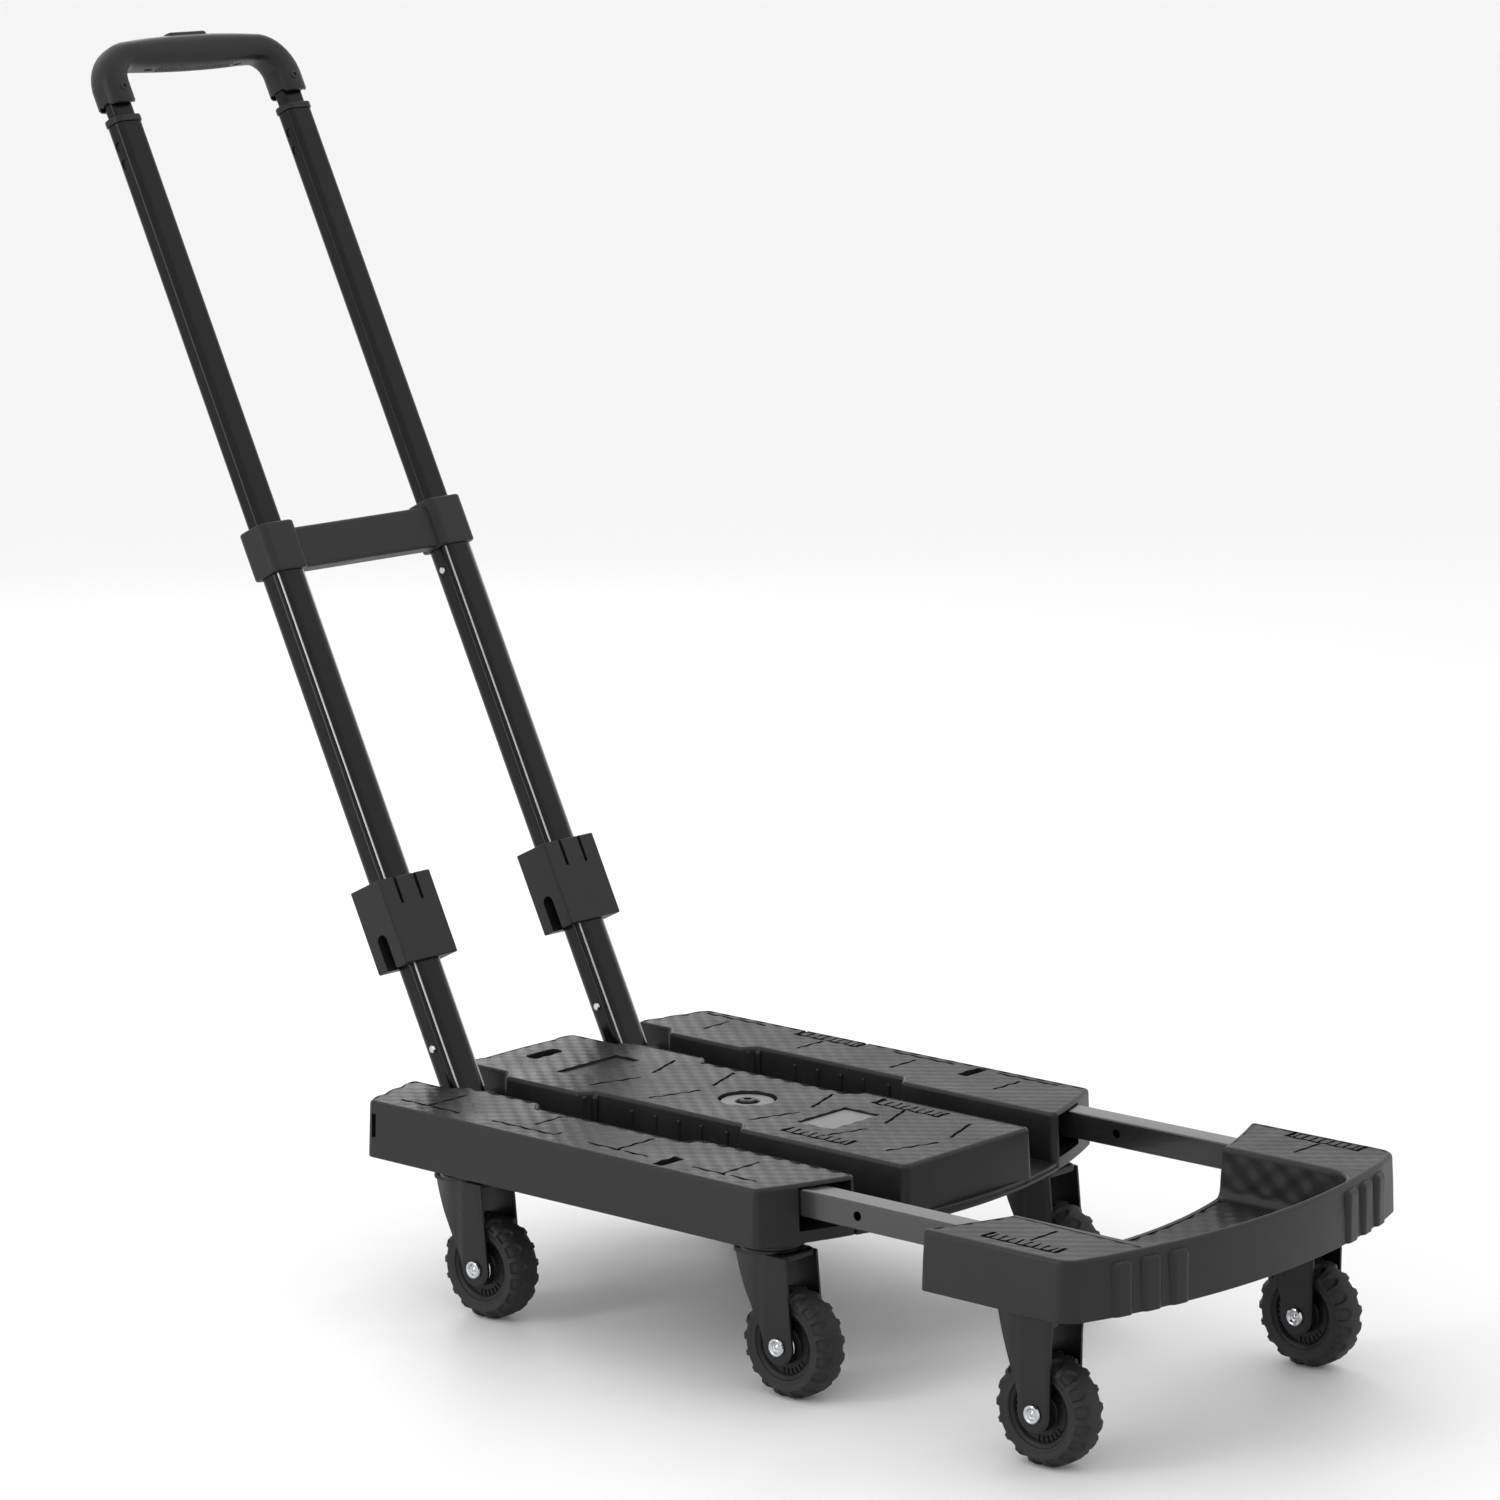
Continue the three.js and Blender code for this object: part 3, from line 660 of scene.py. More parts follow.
def platform():
    body = "platform"
    for side, sign in SIDES:
        stands = ("platform_top",) if sign < 0 else ()
        piece(f"deck_panel_{side}", side_panel(sign), FINISH["deck"], body, "deck", stands)
    piece("deck_panel_centre", centre_panel(), FINISH["deck"], body, "deck")
    piece("deck_floor", deck_floor(), FINISH["deck"], body, "deck")
    piece("bottom_cover", bottom_cover(), FINISH["cover"], body, "cover", ("platform_base",))
    seat = DECK_TOP - WASHER_SEAT["deep"]
    ring = stack(circle(0, BOLT_Y, 19.2, 64), [(seat - 0.5, 0), (seat + 2.0, 0), *rim(seat + 2.6, 0.5)])
    bore = stack(circle(0, BOLT_Y, 8.6, 48), [(seat - 1, 0), (seat + 1.9, 0), (seat + 3, 1.2)])
    piece("centre_washer_ring", less(ring, bore), FINISH["pale"], body, "washer", ("centre_washer",))
    head = stack(circle(0, BOLT_Y, 7.2, 6), [(seat - 1, 0), (seat + 3.4, 0), (seat + 4.2, -0.9)])
    socket = slab(circle(0, BOLT_Y, 3.4, 6), seat + 1, seat + 6)
    piece("centre_bolt_head", less(head, socket), FINISH["dark_steel"], body, "steel", ("centre_bolt",))
    clear = 0.6
    half = LABEL_SEAT["half"] - clear
    plate = slab(plan_box(-half, half, LABEL_SEAT["front"] + clear, LABEL_SEAT["rear"] - clear, 1),
                 DECK_TOP - 3, DECK_TOP - 1.9, top=0.3)
    piece("blank_label_plate", plate, FINISH["pale"], body, "washer")
    for side, _ in SIDES:
        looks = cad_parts[f"hinge_pin_{side}"].data.materials
        looks.clear()
        looks.append(FINISH["steel"])


# ---------------------------------------------------------------- nose
def nose_front(x, inset=0.0):
    return -NOSE_APEX + inset + NOSE_BOW * x * x


RIB_HALF = 9.4
RIB_OUT = 3.0


def corner_rib(x):
    """A rounded upright rib with a domed top, square to the nose's curved front."""
    lean = math.atan(2 * NOSE_BOW * x)
    flat = rounded_rect(2 * RIB_HALF, 12, 5.8, 12)
    c, s = math.cos(lean), math.sin(lean)
    flat = flat @ np.array(((c, s), (-s, c))) + (x, nose_front(x) + 6 - RIB_OUT)
    return slab(flat, SKIRT_BOTTOM + 0.4, DECK_TOP - 4.5, top=4.5, bottom=0.6)


def nose_rear(x):
    return front_edge(x) - NOSE_GAP


def nose_outline():
    corner = nose_front(HALF)
    ends = 151
    return rounded([
        *along(-ends, ends, 8, nose_front),
        (HALF, corner + 1, 15),
        (HALF, nose_rear(HALF), 4),
        *along(HALF - 10, -HALF + 10, 10, nose_rear),
        (-HALF, nose_rear(-HALF), 4),
        (-HALF, corner + 1, 15),
    ])


def well_outline():
    """The well between the arms, open at the rear."""
    bend = 26
    flat = WELL_HALF - bend
    rear = -NOSE_GAP + 6
    front = nose_front(WELL_HALF - 4, NOSE_WALL)
    return rounded([
        *along(-flat, flat, 3, lambda x: nose_front(x, NOSE_WALL)),
        (WELL_HALF, front, bend - 1),
        *[(WELL_HALF, y, 0) for y in np.arange(front + 30, rear, 3)],
        (WELL_HALF, rear, 0), (-WELL_HALF, rear, 0),
        *[(-WELL_HALF, y, 0) for y in np.arange(front + 30, rear, 3)[::-1]],
        (-WELL_HALF, front, bend - 1),
    ], 8)


def well():
    """What is taken out of the nose: flared at the top, rounded into the floor, faceted walls."""
    outline = well_outline()
    lengths = np.concatenate([[0], np.cumsum(np.linalg.norm(np.diff(outline, axis=0), axis=1))])
    round_in = 6
    heel = [(FLOOR_TOP + round_in * (1 - math.cos(a)), round_in * math.sin(a) - 7.5)
            for a in np.linspace(0, math.pi / 2, 6)]
    wall = [(z, -1.5 + 1.8 * (z - 121) / 26) for z in np.arange(122.4, 147, 1.6)]
    flare = [(148, 0.5), (149, 1.2), (149.7, 2.2), (150, 3.4), (153, 3.6)]
    rings = []
    for z, grow in heel + wall + flare:
        fade = min(1, max(0, (z - 119) / 4), max(0, (148 - z) / 3))
        relief = diamonds(lengths, np.full(len(lengths), z), 22, 20) * 0.75 * fade
        flat = outline + (grown(outline, 1) - outline) * (grow - relief)[:, None]
        rings.append(np.column_stack([flat, np.full(len(flat), z)]))
    return loft(rings)


def arm_field(sign):
    """The embossed field on top of an arm."""
    x_in, x_out = WELL_HALF + 5.4, HALF - 4.2
    outline = rounded([
        (x_in, nose_rear(x_in) - 3.6, 2),
        *along(x_in + 3, 130, 6, lambda x: nose_front(x, 4.6)),
        *along(134, 158, 6, lambda x: nose_front(x, 4.8)),
        (x_out, nose_front(x_out) + 6.4, 11),
        (x_out, nose_rear(x_out) - 3.6, 3),
        *along(x_out - 10, x_in + 10, 10, lambda x: nose_rear(x) - 3.6),
    ])
    return outline if sign > 0 else mirrored(outline)


def nose_floor_field():
    """The embossed field on the nose's floor."""
    edge = WELL_HALF - 9
    return rounded([
        *along(-edge + 16, edge - 16, 6, lambda x: nose_front(x, NOSE_WALL + 8.5)),
        (edge, nose_front(edge, NOSE_WALL + 8.5), 14),
        (edge, nose_rear(edge) - 2.6, 1),
        *along(edge - 6, -edge + 6, 8, lambda x: nose_rear(x) - 2.6),
        (-edge, nose_rear(edge) - 2.6, 1),
        (-edge, nose_front(edge, NOSE_WALL + 8.5), 14),
    ])


def nose_marks():
    """A comb and its stem on each arm."""
    left_bar, left_teeth = comb(-166, -242, -180, 11, 6.9)
    right_bar, right_teeth = comb(164, -242, -180, 11, 6.9)
    stems = [stroke(-154, -211, -126, -211), stroke(132, -211, 162, -211)]
    return together(left_bar, right_bar), together(left_teeth, right_teeth), together(*stems)


def nose_shell():
    layers = foot(SKIRT_BOTTOM + 0.2, 0.8, 0.9) + [(130, 0.3)] + rim(DECK_TOP, RIM, -0.6)
    solid = stack(nose_outline(), layers)
    cuts = [well()]
    cuts += [embossed(arm_field(sign), DECK_TOP, TEXTURE_DEPTH * 0.8) for _, sign in SIDES]
    cuts.append(embossed(nose_floor_field(), FLOOR_TOP, 1.3, 19, 17))
    tube = SLIDE_SIDE / 2 + 0.3
    for _, sign in SIDES:
        x = sign * SLIDE_X
        cuts.append(box(x - tube, x + tube, -216, -130, SLIDE_TOP - SLIDE_SIDE - 0.3, SLIDE_TOP + 0.3))
    ribs = [corner_rib(sign * x) for _, sign in SIDES for x in RIB_X]
    return plus(less(solid, *cuts, *nose_marks()), *ribs)


def nose_cover():
    outline = grown(nose_outline(), -2.5)
    return stack(outline, [(SKIRT_BOTTOM, -0.6), (SKIRT_BOTTOM + 0.5, 0), (SKIRT_BOTTOM + 2.5, 0)])


def across_y(solid):
    """A solid built along Z laid along Y, its own Y up."""
    return turned(solid, Matrix(((-1, 0, 0, 0), (0, 0, 1, 0), (0, 1, 0, 0), (0, 0, 0, 1))))


def across_x(solid):
    """A solid built along Z laid along X: its X becomes Y and its Y becomes Z."""
    return turned(solid, Matrix(((0, 0, 1, 0), (1, 0, 0, 0), (0, 1, 0, 0), (0, 0, 0, 1))))


def slide_tube(sign):
    middle = SLIDE_TOP - SLIDE_SIDE / 2
    section = rounded_rect(SLIDE_SIDE, SLIDE_SIDE, 1.3, 30)
    outer = moved(across_y(slab(section, -215, 172, bottom=0.3, top=0.3)), sign * SLIDE_X, 0, middle)
    inside = rounded_rect(SLIDE_SIDE - 3, SLIDE_SIDE - 3, 0.6, 30)
    bore = moved(across_y(slab(inside, -216, 173)), sign * SLIDE_X, 0, middle)
    hole = moved(across_x(slab(circle(-62, middle, 3.3, 32), -12, 12)), sign * SLIDE_X)
    return less(outer, bore, hole)


def nose():
    piece("nose_shell", nose_shell(), FINISH["deck"], "nose", "deck", ("nose_top",))
    piece("nose_bottom_cover", nose_cover(), FINISH["cover"], "nose", "cover", ("nose_base",))
    for side, sign in SIDES:
        piece(f"slide_bar_{side}", slide_tube(sign), FINISH["slide"], "nose", "slide_tube",
              (f"slide_tube_{side}",))


# ---------------------------------------------------------------- wheels, built about their centres
LUGS = 18
TYRE_PROFILE = [
    (-10.6, 23.6), (-12.2, 24.2), (-12.9, 25.4), (-12.6, 26.6), (-12.9, 28), (-13.4, 29.6), (-13.5, 31),
    (-13.1, 32.4), (-12.3, 33.7), (-11.2, 34.8), (-9.9, 35.7), (-8.4, 36.4), (-6.8, 36.9), (-5.2, 37.2),
    (-3.6, 37.4), (-1.8, 37.5), (0, 37.5),
]


def tyre():
    """A rounded rubber tyre with a row of bevelled pits along each shoulder."""
    half = [np.array(p, float) for p in TYRE_PROFILE]
    profile = half + [p * (-1, 1) for p in reversed(half[:-1])]
    profile = np.array(profile[::-1])
    x, r = profile[:, 0], profile[:, 1]
    normal = np.roll(profile, 1, 0) - np.roll(profile, -1, 0)
    normal = np.column_stack([-normal[:, 1], normal[:, 0]])
    normal /= np.linalg.norm(normal, axis=1, keepdims=True)
    sides = LUGS * 14
    rings = []
    for k in range(sides):
        turn = k / sides
        phase = (turn * LUGS + np.where(x > 0, 0.5, 0.0)) % 1.0 - 0.5
        reach = np.clip((12.9 - np.abs(x)) / 8.6, 0, 1)
        half_wide = 0.36 * np.sqrt(1 - reach ** 2.2)
        inside = (np.abs(x) < 13.3) & (np.abs(x) > 4.3) & (r > 30)
        edge = np.clip((half_wide - np.abs(phase)) / 0.07, 0, 1) * inside
        depth = 1.5 * edge * edge * (3 - 2 * edge)
        ridge = 0.35 * np.exp(-((np.abs(phase) - half_wide - 0.05) / 0.05) ** 2) * inside
        shaped = profile - normal * (depth - ridge)[:, None]
        angle = 2 * math.pi * turn
        radius = np.minimum(shaped[:, 1], WHEEL_R)
        rings.append(np.column_stack([shaped[:, 0], radius * math.cos(angle), radius * math.sin(angle)]))
    return np.vstack(rings), ring_faces(sides, len(profile))


def hub():
    """A dished hub with a raised inner boss and short radial ribs."""
    profile = [(12.2, 9), (12.2, 11.6), (9.6, 12.2), (8.8, 13), (8.8, 19.8), (10.4, 21), (11.2, 22),
               (11.6, 23.8)]
    full = profile + [(-x, r) for x, r in reversed(profile)]
    body = lathe(full[::-1], 96)
    ribs = []
    for face in (-1, 1):
        for k in range(30):
            angle = 2 * math.pi * k / 30
            if k % 10 in (4, 5, 6, 7):
                continue
            rib = box(-0.55, 0.55, 16.2, 20.4, 0, 1.3)
            lift = Matrix.Rotation(face * math.pi / 2, 4, "Y")
            rib = turned(moved(rib, 0, 0, 8.4), lift)
            ribs.append(turned(rib, Matrix.Rotation(angle, 4, "X")))
    return together(body, *ribs)


def bearing():
    """The polished bearing ring and its sleeve."""
    ring = [(-12.0, 6.4), (-12.6, 9.0), (-12.9, 9.4), (-12.9, 10.2), (-12.5, 10.6),
            (12.5, 10.6), (12.9, 10.2), (12.9, 9.4), (12.6, 9.0), (12.0, 6.4)]
    sleeve = [(-14.4, 4.3), (-14.4, 6.1), (14.4, 6.1), (14.4, 4.3)]
    return together(lathe(ring, 64), lathe(sleeve, 32))


def axle():
    """A hollow rivet with rolled heads."""
    face = FORK_FACE + 0.3
    head = [(face, 6.2), (face + 0.9, 6.4), (face + 1.9, 6.0), (face + 2.3, 5.2), (face + 2.1, 4.3),
            (face + 1.4, 3.6), (face + 0.6, 3.3), (face + 0.4, 2.2), (face + 1.2, 1.2), (face + 1.4, 0.3)]
    half = [(0, 4.0), (face, 4.0)] + head
    full = [(-x, r) for x, r in reversed(half[1:])] + half[1:]
    return lathe(full[::-1], 40)


def fork_side(sign, front, rear, top, bend_from, bend, nub):
    """One side of a pressed fork: a sheet whose rear part bends inwards, rounded about the axle.
    front and rear give y from the height above the axle."""
    sheet = 2.4
    heights = np.concatenate([-nub * np.cos(np.linspace(0, math.pi / 2, 7)), np.linspace(1, top, 24)])
    across = np.linspace(0, 1, 15)
    outer, inner = [], []
    for h in heights:
        if h < 0:
            low, high = -math.sqrt(max(nub ** 2 - h ** 2, 0.02)), math.sqrt(max(nub ** 2 - h ** 2, 0.02))
        else:
            low, high = front(h), rear(h)
        y = low + (high - low) * across
        inward = bend * np.clip(y - bend_from, 0, None) ** 2
        proud = 0.9 * np.clip((bend_from + 1.0 - y) / 2.0, 0, 1) * np.clip((y - low) / 1.6, 0.25, 1)
        outer.append(np.column_stack([FORK_FACE - 0.9 - inward + proud, y, np.full(len(y), h)]))
        inner.append(np.column_stack([FORK_FACE - 0.9 - inward - sheet + 0.9, y, np.full(len(y), h)]))
    rings = [np.vstack([o, i[::-1]]) for o, i in zip(outer, inner)]
    solid = loft(rings)
    return solid if sign > 0 else flipped(solid)


def blend_curve(points):
    """A smooth y from a list of (height, y) points."""
    heights, values = zip(*points)
    return lambda h: float(np.interp(h, heights, values))


def swivel_fork():
    """Built about its wheel's axle: swept sides, a crown and the ball race under the top plate."""
    rear = blend_curve([(0, 12.2), (8, 15.2), (18, 21.5), (27, 27), (36, 33), (45, 38), (53, 42), (58, 44),
                        (63.5, 45)])
    front = blend_curve([(0, -12.2), (40, -8), (63.5, -5.5)])
    sides = [fork_side(s, front, rear, 61.5, 14, 0.0075, 12.4) for s in (1, -1)]
    crown_outline = rounded([(-FORK_FACE, -5.5, 6), (FORK_FACE, -5.5, 6), (FORK_FACE - 2, 45, 8),
                             (-FORK_FACE + 2, 45, 8)])
    crown = stack(crown_outline, [(58.5, -0.3), *rim(63.5, 3.5)])
    groove = [(64.3, 0), (64.6, -1.2), (65.2, -1.2), (65.5, 0)]
    race = stack(circle(0, 20, 21.5, 64), foot(62, 0.8) + groove + rim(67.5, 1))
    return together(*sides, crown, race)


def fixed_fork():
    """Built about its wheel's axle: upright sides with a raised strip, under a flat top plate."""
    rear = blend_curve([(0, 12.8), (10, 13.2), (20, 16.5), (62, 35.5), (71, 37)])
    front = blend_curve([(0, -12.8), (50, -13.2), (62, -14.5), (71, -15.5)])
    sides = [fork_side(s, front, rear, 69.5, 12.8, 0.013, 12.9) for s in (1, -1)]
    top = SKIRT_BOTTOM - 0.3 - WHEEL_R
    flange = stack(plan_box(-23.5, 23.5, -15.5, 37, 3), [(top - 2.6, -0.4), (top - 2.2, 0), *rim(top, 0.6)])
    web = rounded([(-16, -13.5, 2), (16, -13.5, 2), (16, -10.5, 0.5), (-16, -10.5, 0.5)])
    gusset = stack(web, [(top - 12, 0), (top - 2, 0)])
    arch = across_y(slab(circle(0, top - 19, 12.5, 48), -30, 0))
    return together(*sides, flange, less(gusset, arch))


def caster_top():
    """Built about its swivel axis: the fixed plate and king pin."""
    top = SKIRT_BOTTOM - 0.3
    plate = stack(circle(0, 0, 27, 64), [(top - 3, -0.8), (top - 2.4, 0), *rim(top, 0.5)])
    pin = stack(circle(0, 0, 4.8, 24), [(94, 0), (top - 1, 0)])
    nut = stack(circle(0, 0, 8, 6), [(93.4, -0.8), (94.2, 0), (96.4, 0), (97.2, -0.8)])
    return together(plate, pin, nut)


def casters():
    made = {}
    kinds = {
        "tyre": (tyre, "tyre", "tyre"),
        "hub": (hub, "hub", "hub"),
        "bearing": (bearing, "chrome", "chrome"),
        "axle": (axle, "chrome", "chrome"),
    }
    names = {"tyre": "tyre_lugged", "hub": "hub_dished", "bearing": "bearing_ring", "axle": "axle_rivet"}

    def put(kind, build, finish, slot, name, place, body, node):
        if kind in made:
            copy_piece(made[kind], name, place, body, (node,))
        else:
            made[kind] = piece(name, build(), FINISH[finish], body, slot, (node,), place=place)

    for place in ("rear", "middle", "front"):
        for side, _ in SIDES:
            wheel = f"{place}_{side}"
            centre = centre_of(f"axle_{wheel}")
            holder = "nose" if place == "front" else f"caster_{wheel}"
            for kind, (build, finish, slot) in kinds.items():
                body = holder if kind == "axle" else f"wheel_{wheel}"
                node = f"{kind}_{wheel}"
                put(kind, build, finish, slot, f"{names[kind]}_{wheel}", centre, body, node)
            fork = fixed_fork if place == "front" else swivel_fork
            put(fork.__name__, fork, "fork", "fork", f"pressed_fork_{wheel}", centre, holder,
                f"fork_{wheel}")
            if place != "front":
                node = f"caster_plate_{wheel}"
                swivel = centre_of(node)
                put("top", caster_top, "dark_steel", "steel", f"caster_top_{wheel}", (swivel.x, swivel.y, 0),
                    "platform", node)


# ---------------------------------------------------------------- handle
def upright(solid, x=0.0):
    """From the handle's own frame, with Z up the legs from the hinge, into the cart's frame."""
    pin = centre_of("hinge_pin_left")
    c, s = math.cos(LEAN), math.sin(LEAN)
    lean = Matrix(((1, 0, 0, x), (0, c, s, pin.y / MM - Y0), (0, -s, c, pin.z / MM), (0, 0, 0, 1)))
    return turned(solid, lean)


def bar(section, low, high, edge=0.4, grow=0.0):
    """A rounded bar up the legs."""
    outline = rounded_rect(section["wide"] + grow, section["deep"] + grow, section["round"] + grow / 2, 10)
    return slab(outline, low, high, top=edge, bottom=edge)


def hollow(section, low, high, wall):
    """A tube open at both ends."""
    inner = {"wide": section["wide"] - 2 * wall, "deep": section["deep"] - 2 * wall,
             "round": max(0.8, section["round"] - wall)}
    return less(bar(section, low, high), bar(inner, low - 2, high + 2, 0.0))


def along_x(y, z, radius, x0, x1, sides=24):
    return across_x(slab(circle(y, z, radius, sides), x0, x1))


def lower_leg():
    leg = hollow(LEG, -11, TO_DECK + 413, 1.7)
    return less(leg, along_x(0, 0, 4.2, -20, 20))


def leg_seam_highlight(sign):
    """A thin strip along one front corner of a lower leg, at its seam, in bright steel as a painted
    highlight on that crease.
    """
    x = sign * (LEG["wide"] / 2 - 2.3)
    y = -LEG["deep"] / 2 + 2.1
    return slab(circle(x, y, 0.75, 10), 6, TO_DECK + 384)


def rivet(y, z, radius, face, proud, sign=-1):
    """A small domed head on the outer side of a tube."""
    head = slab(circle(y, z, radius, 24), face - 0.6, face + proud, top=min(proud, radius) * 0.8)
    solid = across_x(head)
    return solid if sign > 0 else flipped(solid)


DIMPLES = (722, 708)           # round pits near the top of a middle tube, up from the deck


def middle_tube():
    low, high = TO_DECK + 352, TO_DECK + 738.7
    tube = hollow(MIDDLE, low, high, 1.8)
    face = MIDDLE["wide"] / 2
    dimples = [flipped(across_x(slab(circle(0, TO_DECK + w, 3.6, 24), face - 0.9, face + 2)))
               for w in DIMPLES]
    return less(tube, *dimples)


def lock_block():
    low, high = TO_DECK + 84.5, TO_DECK + 147.5
    block = slab(rounded_rect(53, 32, 1.8, 30), low, high, top=1.0, bottom=1.0)
    bore = bar(LEG, low - 2, high + 2, 0.0, 1.0)
    slits = [slab(rounded_rect(3, 8, 0.8, 30) + (x, -16), high - 20, high + 4) for x in (-10, 10)]
    arch = rounded([(-5, low - 4, 0), (5, low - 4, 0), (5, low + 26, 4.9), (-5, low + 26, 4.9)])
    slot = across_x(slab(arch, -30, -14.5))
    return less(block, bore, *slits, slot)


def crossbar():
    low, high = TO_DECK + 384.5, TO_DECK + 421.5
    sleeve_outline = rounded_rect(36, 28, 7, 10)
    solid = across_x(slab(plan_box(-9, 7, low + 0.6, high - 5, 3), -LEG_X, LEG_X))
    sleeves = [slab(sleeve_outline + (x, 0), low, high, top=1.8, bottom=1.8) for x in (-LEG_X, LEG_X)]
    cuts = []
    for x in (-LEG_X, LEG_X):
        cuts.append(moved(bar(LEG, low - 2, TO_DECK + 413.3, 0.0, 0.6), x))
        cuts.append(moved(bar(MIDDLE, low, high + 2, 0.0, 0.8), x))
    return less(plus(solid, *sleeves), *cuts)


GRIP_LOW = TO_DECK + 752.5
GRIP_TOP = TO_DECK + 804.5
GRIP_DEEP = 26
GRIP_BEND = 23                 # bend radius of the grip's centre line
GRIP_LEG = 27
GRIP_BAR = 25.5


def squircle(angle, power=2.7):
    """A point of a rounded square of half side 1."""
    c, s = math.cos(angle), math.sin(angle)
    return math.copysign(abs(c) ** (2 / power), c), math.copysign(abs(s) ** (2 / power), s)


def grip_shell():
    """A smooth U-shaped grip, lofted along its centre line from one leg to the other."""
    middle = GRIP_TOP - GRIP_BAR / 2
    path = []
    for z in (GRIP_LOW, GRIP_LOW + 0.5, GRIP_LOW + 1.5, GRIP_LOW + 8, middle - GRIP_BEND - 4):
        path.append((-LEG_X, z, 90))
    for a in np.linspace(90, 0, 10):
        rad = math.radians(a)
        path.append((-LEG_X + GRIP_BEND - GRIP_BEND * math.sin(rad),
                     middle - GRIP_BEND + GRIP_BEND * math.cos(rad), a))
    for x in np.linspace(-LEG_X + GRIP_BEND, 0, 13)[1:]:
        path.append((x, middle, 0))
    path += [(-x, z, -a) for x, z, a in reversed(path[:-1])]
    rings = []
    for x, z, a in path:
        rad = math.radians(a)
        across_dir = np.array((-math.sin(rad), math.cos(rad)))
        share = min(1, abs(x) / LEG_X)
        drop = 5.5 * share ** 2.2 * (1 - abs(a) / 90)
        swell = 1.6 * (1 - (x / 55) ** 2) if abs(x) < 55 else 0
        reach_out = (GRIP_LEG if abs(a) == 90 else GRIP_BAR + (GRIP_LEG - GRIP_BAR) * abs(a) / 90) / 2
        closing = {GRIP_LOW: 1.3, GRIP_LOW + 0.5: 0.5}.get(z, 0)
        ring = []
        for k in range(40):
            depth, out = squircle(2 * math.pi * k / 40)
            size = reach_out - closing
            if out > 0:
                size -= drop
            else:
                size += swell - 1.6
            offset = across_dir * out * size
            ring.append((x + offset[0], depth * (GRIP_DEEP / 2 - closing), z + offset[1]))
        rings.append(np.array(ring))
    solid = loft(rings)
    cuts = [moved(bar(UPPER, GRIP_LOW - 3, GRIP_LOW + 14, 0.0, 1.2), x) for x in (-LEG_X, LEG_X)]
    cuts += [moved(bar(UPPER, GRIP_LOW - 3, GRIP_LOW + 2.5, 0.0, 7.0), x) for x in (-LEG_X, LEG_X)]
    cuts.append(slab(rounded_rect(41, 17, 5.2), GRIP_TOP - 8, GRIP_TOP + 4))
    under = GRIP_TOP - GRIP_BAR
    cuts += [slab(rounded_rect(8, 2.6, 1.2) + (x, 0), under - 6, under + 4) for x in (-45, 45)]
    return less(solid, *cuts)


def grip_dots():
    """The dimpled strip under the grip, as rows of small studs."""
    under = GRIP_TOP - GRIP_BAR
    studs = []
    for row in range(5):
        for column in range(27):
            x = -36.4 + 2.8 * column + (1.4 if row % 2 else 0)
            y = -5 + 2.5 * row
            low = under - 1.6 * (1 - (x / 55) ** 2) + 1.6 - 0.4 + 0.028 * y * y
            studs.append(slab(circle(x, y, 0.8, 8), low - 0.1, low + 1.2, bottom=0.4))
    return together(*studs)


def grip_screw(x):
    """A hex socket screw head, sunk in the front of a shoulder."""
    z = TO_DECK + 764
    face = GRIP_DEEP / 2
    head = slab(circle(0, 0, 3.1, 32), 0, 1.6, top=0.5)
    head = less(head, slab(circle(0, 0, 1.6, 6), 0.5, 3))
    front = Matrix(((1, 0, 0, x), (0, 0, -1, -face + 0.9), (0, 1, 0, z), (0, 0, 0, 1)))
    return turned(head, front)


def handle():
    for side, sign in SIDES:
        x = sign * LEG_X
        piece(f"leg_{side}", upright(lower_leg(), x), FINISH["tube"], "handle_lower", "handle_tube",
              (f"lower_leg_{side}",))
        # a bright steel strip on each front corner of the leg: the seam there, with its highlight painted in
        for edge, seam_sign in SIDES:
            piece(f"leg_seam_highlight_{side}_{edge}", upright(leg_seam_highlight(seam_sign), x), FINISH["steel"],
                  "handle_lower", "chrome")
        piece(f"middle_stage_{side}", upright(middle_tube(), x), FINISH["tube"], "handle_middle",
              "handle_tube", (f"middle_tube_{side}",))
        upper = hollow(UPPER, TO_DECK + 440, TO_DECK + 772, 1.2)
        piece(f"upper_stage_{side}", upright(upper, x), FINISH["tube"], "handle_upper", "inner_tube",
              (f"upper_tube_{side}",))
        cap = less(slab(rounded_rect(27, 18, 6.5, 10), TO_DECK + 738.9, TO_DECK + 744, top=1.2, bottom=0.5),
                   bar(UPPER, TO_DECK + 730, TO_DECK + 750, 0.0, 0.8))
        piece(f"collar_cap_{side}", upright(cap, x), FINISH["grip"], "handle_middle", "grip",
              (f"collar_{side}",))
        piece(f"lock_sleeve_{side}", upright(lock_block(), x), FINISH["block"], f"lock_block_{side}",
              "block", (f"lock_block_{side}",))
        pins = [rivet(0, TO_DECK + 22, 2.9, LEG["wide"] / 2, 1.7)]
        if sign > 0:
            pins.append(rivet(0, TO_DECK + 368, 2.6, LEG["wide"] / 2, 1.2))
        piece(f"leg_rivets_{side}", upright(together(*pins), x), FINISH["chrome"], "handle_lower", "chrome",
              (f"latch_pin_{side}",))
        piece(f"grip_screw_{side}", upright(grip_screw(x)), FINISH["dark_steel"], "handle_upper", "steel")
    piece("cross_brace", upright(crossbar()), FINISH["block"], "handle_lower", "block", ("crossbar",))
    piece("grip_shell", upright(grip_shell()), FINISH["grip"], "handle_upper", "grip", ("grip",), sharp=50)
    piece("grip_studs", upright(grip_dots()), FINISH["grip"], "handle_upper", "grip")
    button = slab(rounded_rect(40, 16, 5), GRIP_TOP - 4, GRIP_TOP + 1.6, top=1.8)
    piece("release_button", upright(button), FINISH["grip"], "grip_button", "grip", ("grip_button",))


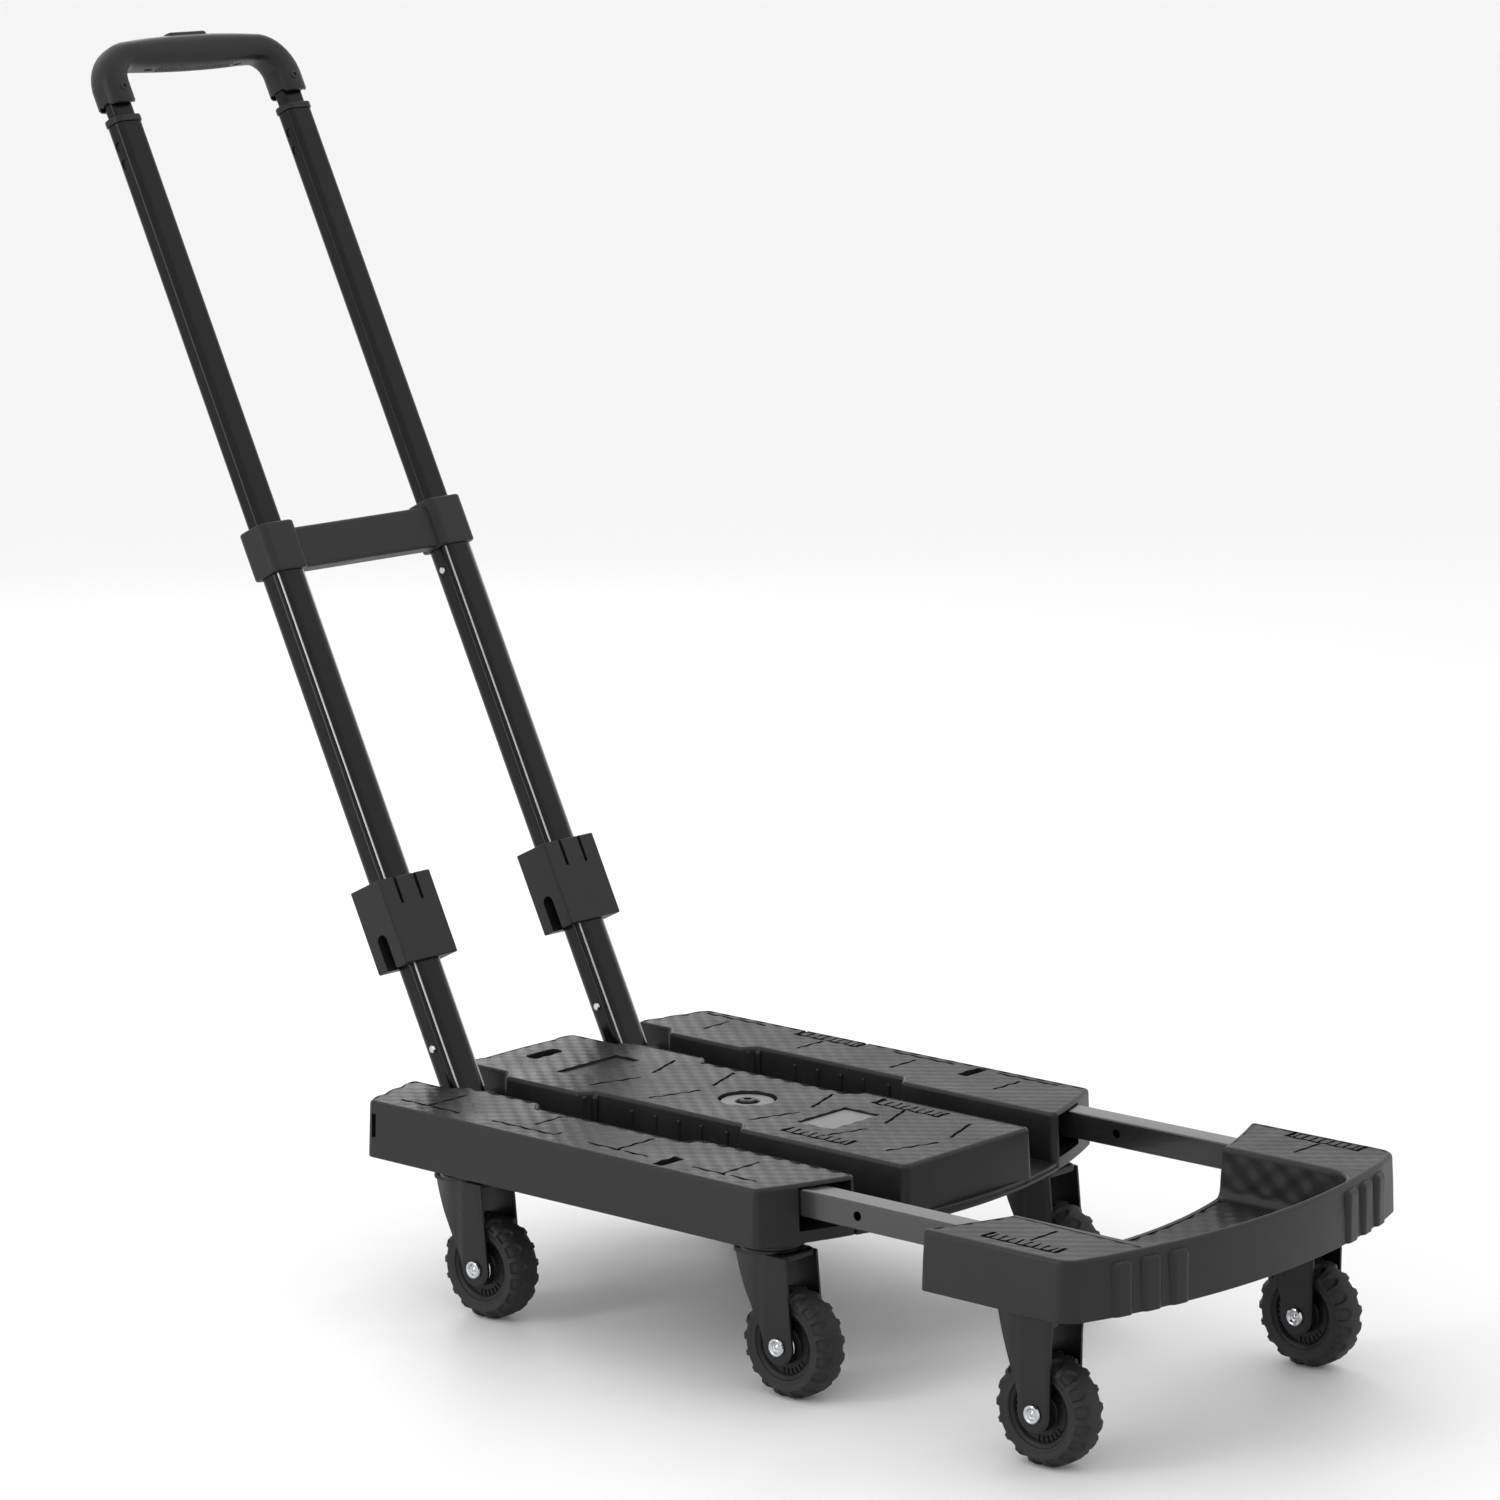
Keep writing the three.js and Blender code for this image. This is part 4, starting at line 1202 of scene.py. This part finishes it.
# ---------------------------------------------------------------- studio
CAMERA_PLACE = (-2.78364, -2.51411, 1.10641)
CAMERA_AZIMUTH, CAMERA_ELEVATION, CAMERA_ROLL = -48.60, 10.79, -0.11
LENS = 130.6


def camera():
    a, e = math.radians(CAMERA_AZIMUTH), math.radians(CAMERA_ELEVATION)
    back = Vector((math.sin(a) * math.cos(e), -math.cos(a) * math.cos(e), math.sin(e)))
    right = Vector((math.cos(a), math.sin(a), 0))
    up = back.cross(right)
    turn = Matrix((right, up, back)).transposed() @ Matrix.Rotation(math.radians(CAMERA_ROLL), 3, "Z")
    data = bpy.data.cameras.new("camera")
    data.lens = LENS
    data.sensor_width = 36
    data.clip_end = 100
    obj = bpy.data.objects.new("camera", data)
    obj.matrix_world = Matrix.Translation(CAMERA_PLACE) @ turn.to_4x4()
    bpy.context.scene.collection.objects.link(obj)
    bpy.context.scene.camera = obj


def softbox(name, place, aim, wide, high, power):
    data = bpy.data.lights.new(name, "AREA")
    data.shape = "RECTANGLE"
    data.size, data.size_y = wide, high
    data.energy = power
    obj = bpy.data.objects.new(name, data)
    obj.location = place
    obj.rotation_mode = "QUATERNION"
    obj.rotation_quaternion = (Vector(place) - Vector(aim)).to_track_quat("Z", "Y")
    bpy.context.scene.collection.objects.link(obj)


def studio():
    scene = bpy.context.scene
    scene.view_settings.view_transform = "Standard"
    world = bpy.data.worlds.new("studio")
    scene.world = world
    world.use_nodes = True
    background = world.node_tree.nodes["Background"]
    background.inputs["Color"].default_value = (1, 1, 1, 1)
    background.inputs["Strength"].default_value = 1.05
    floor_mesh = bpy.data.meshes.new("floor")
    reach = 60
    floor_mesh.from_pydata([(-reach, -reach, 0), (reach, -reach, 0), (reach, reach, 0), (-reach, reach, 0)],
                           [], [(0, 1, 2, 3)])
    floor = bpy.data.objects.new("floor", floor_mesh)
    scene.collection.objects.link(floor)
    paint = surface("floor paint", (0.86, 0.86, 0.865), 0.5, specular=0.2, grain=(60, 0.02), tint=0.005)
    floor_mesh.materials.append(paint)
    middle = (0, 0, 0.2)
    softbox("overhead softbox", (0.3, 0.6, 2.6), middle, 2.6, 2.6, 9)
    softbox("left strip", (-2.2, 0.7, 1.2), (0, 0.1, 0.5), 0.35, 2.2, 14)
    softbox("rear strip", (1.6, 2.0, 1.6), middle, 0.6, 2.0, 8)


platform()
nose()
casters()
handle()
camera()
studio()
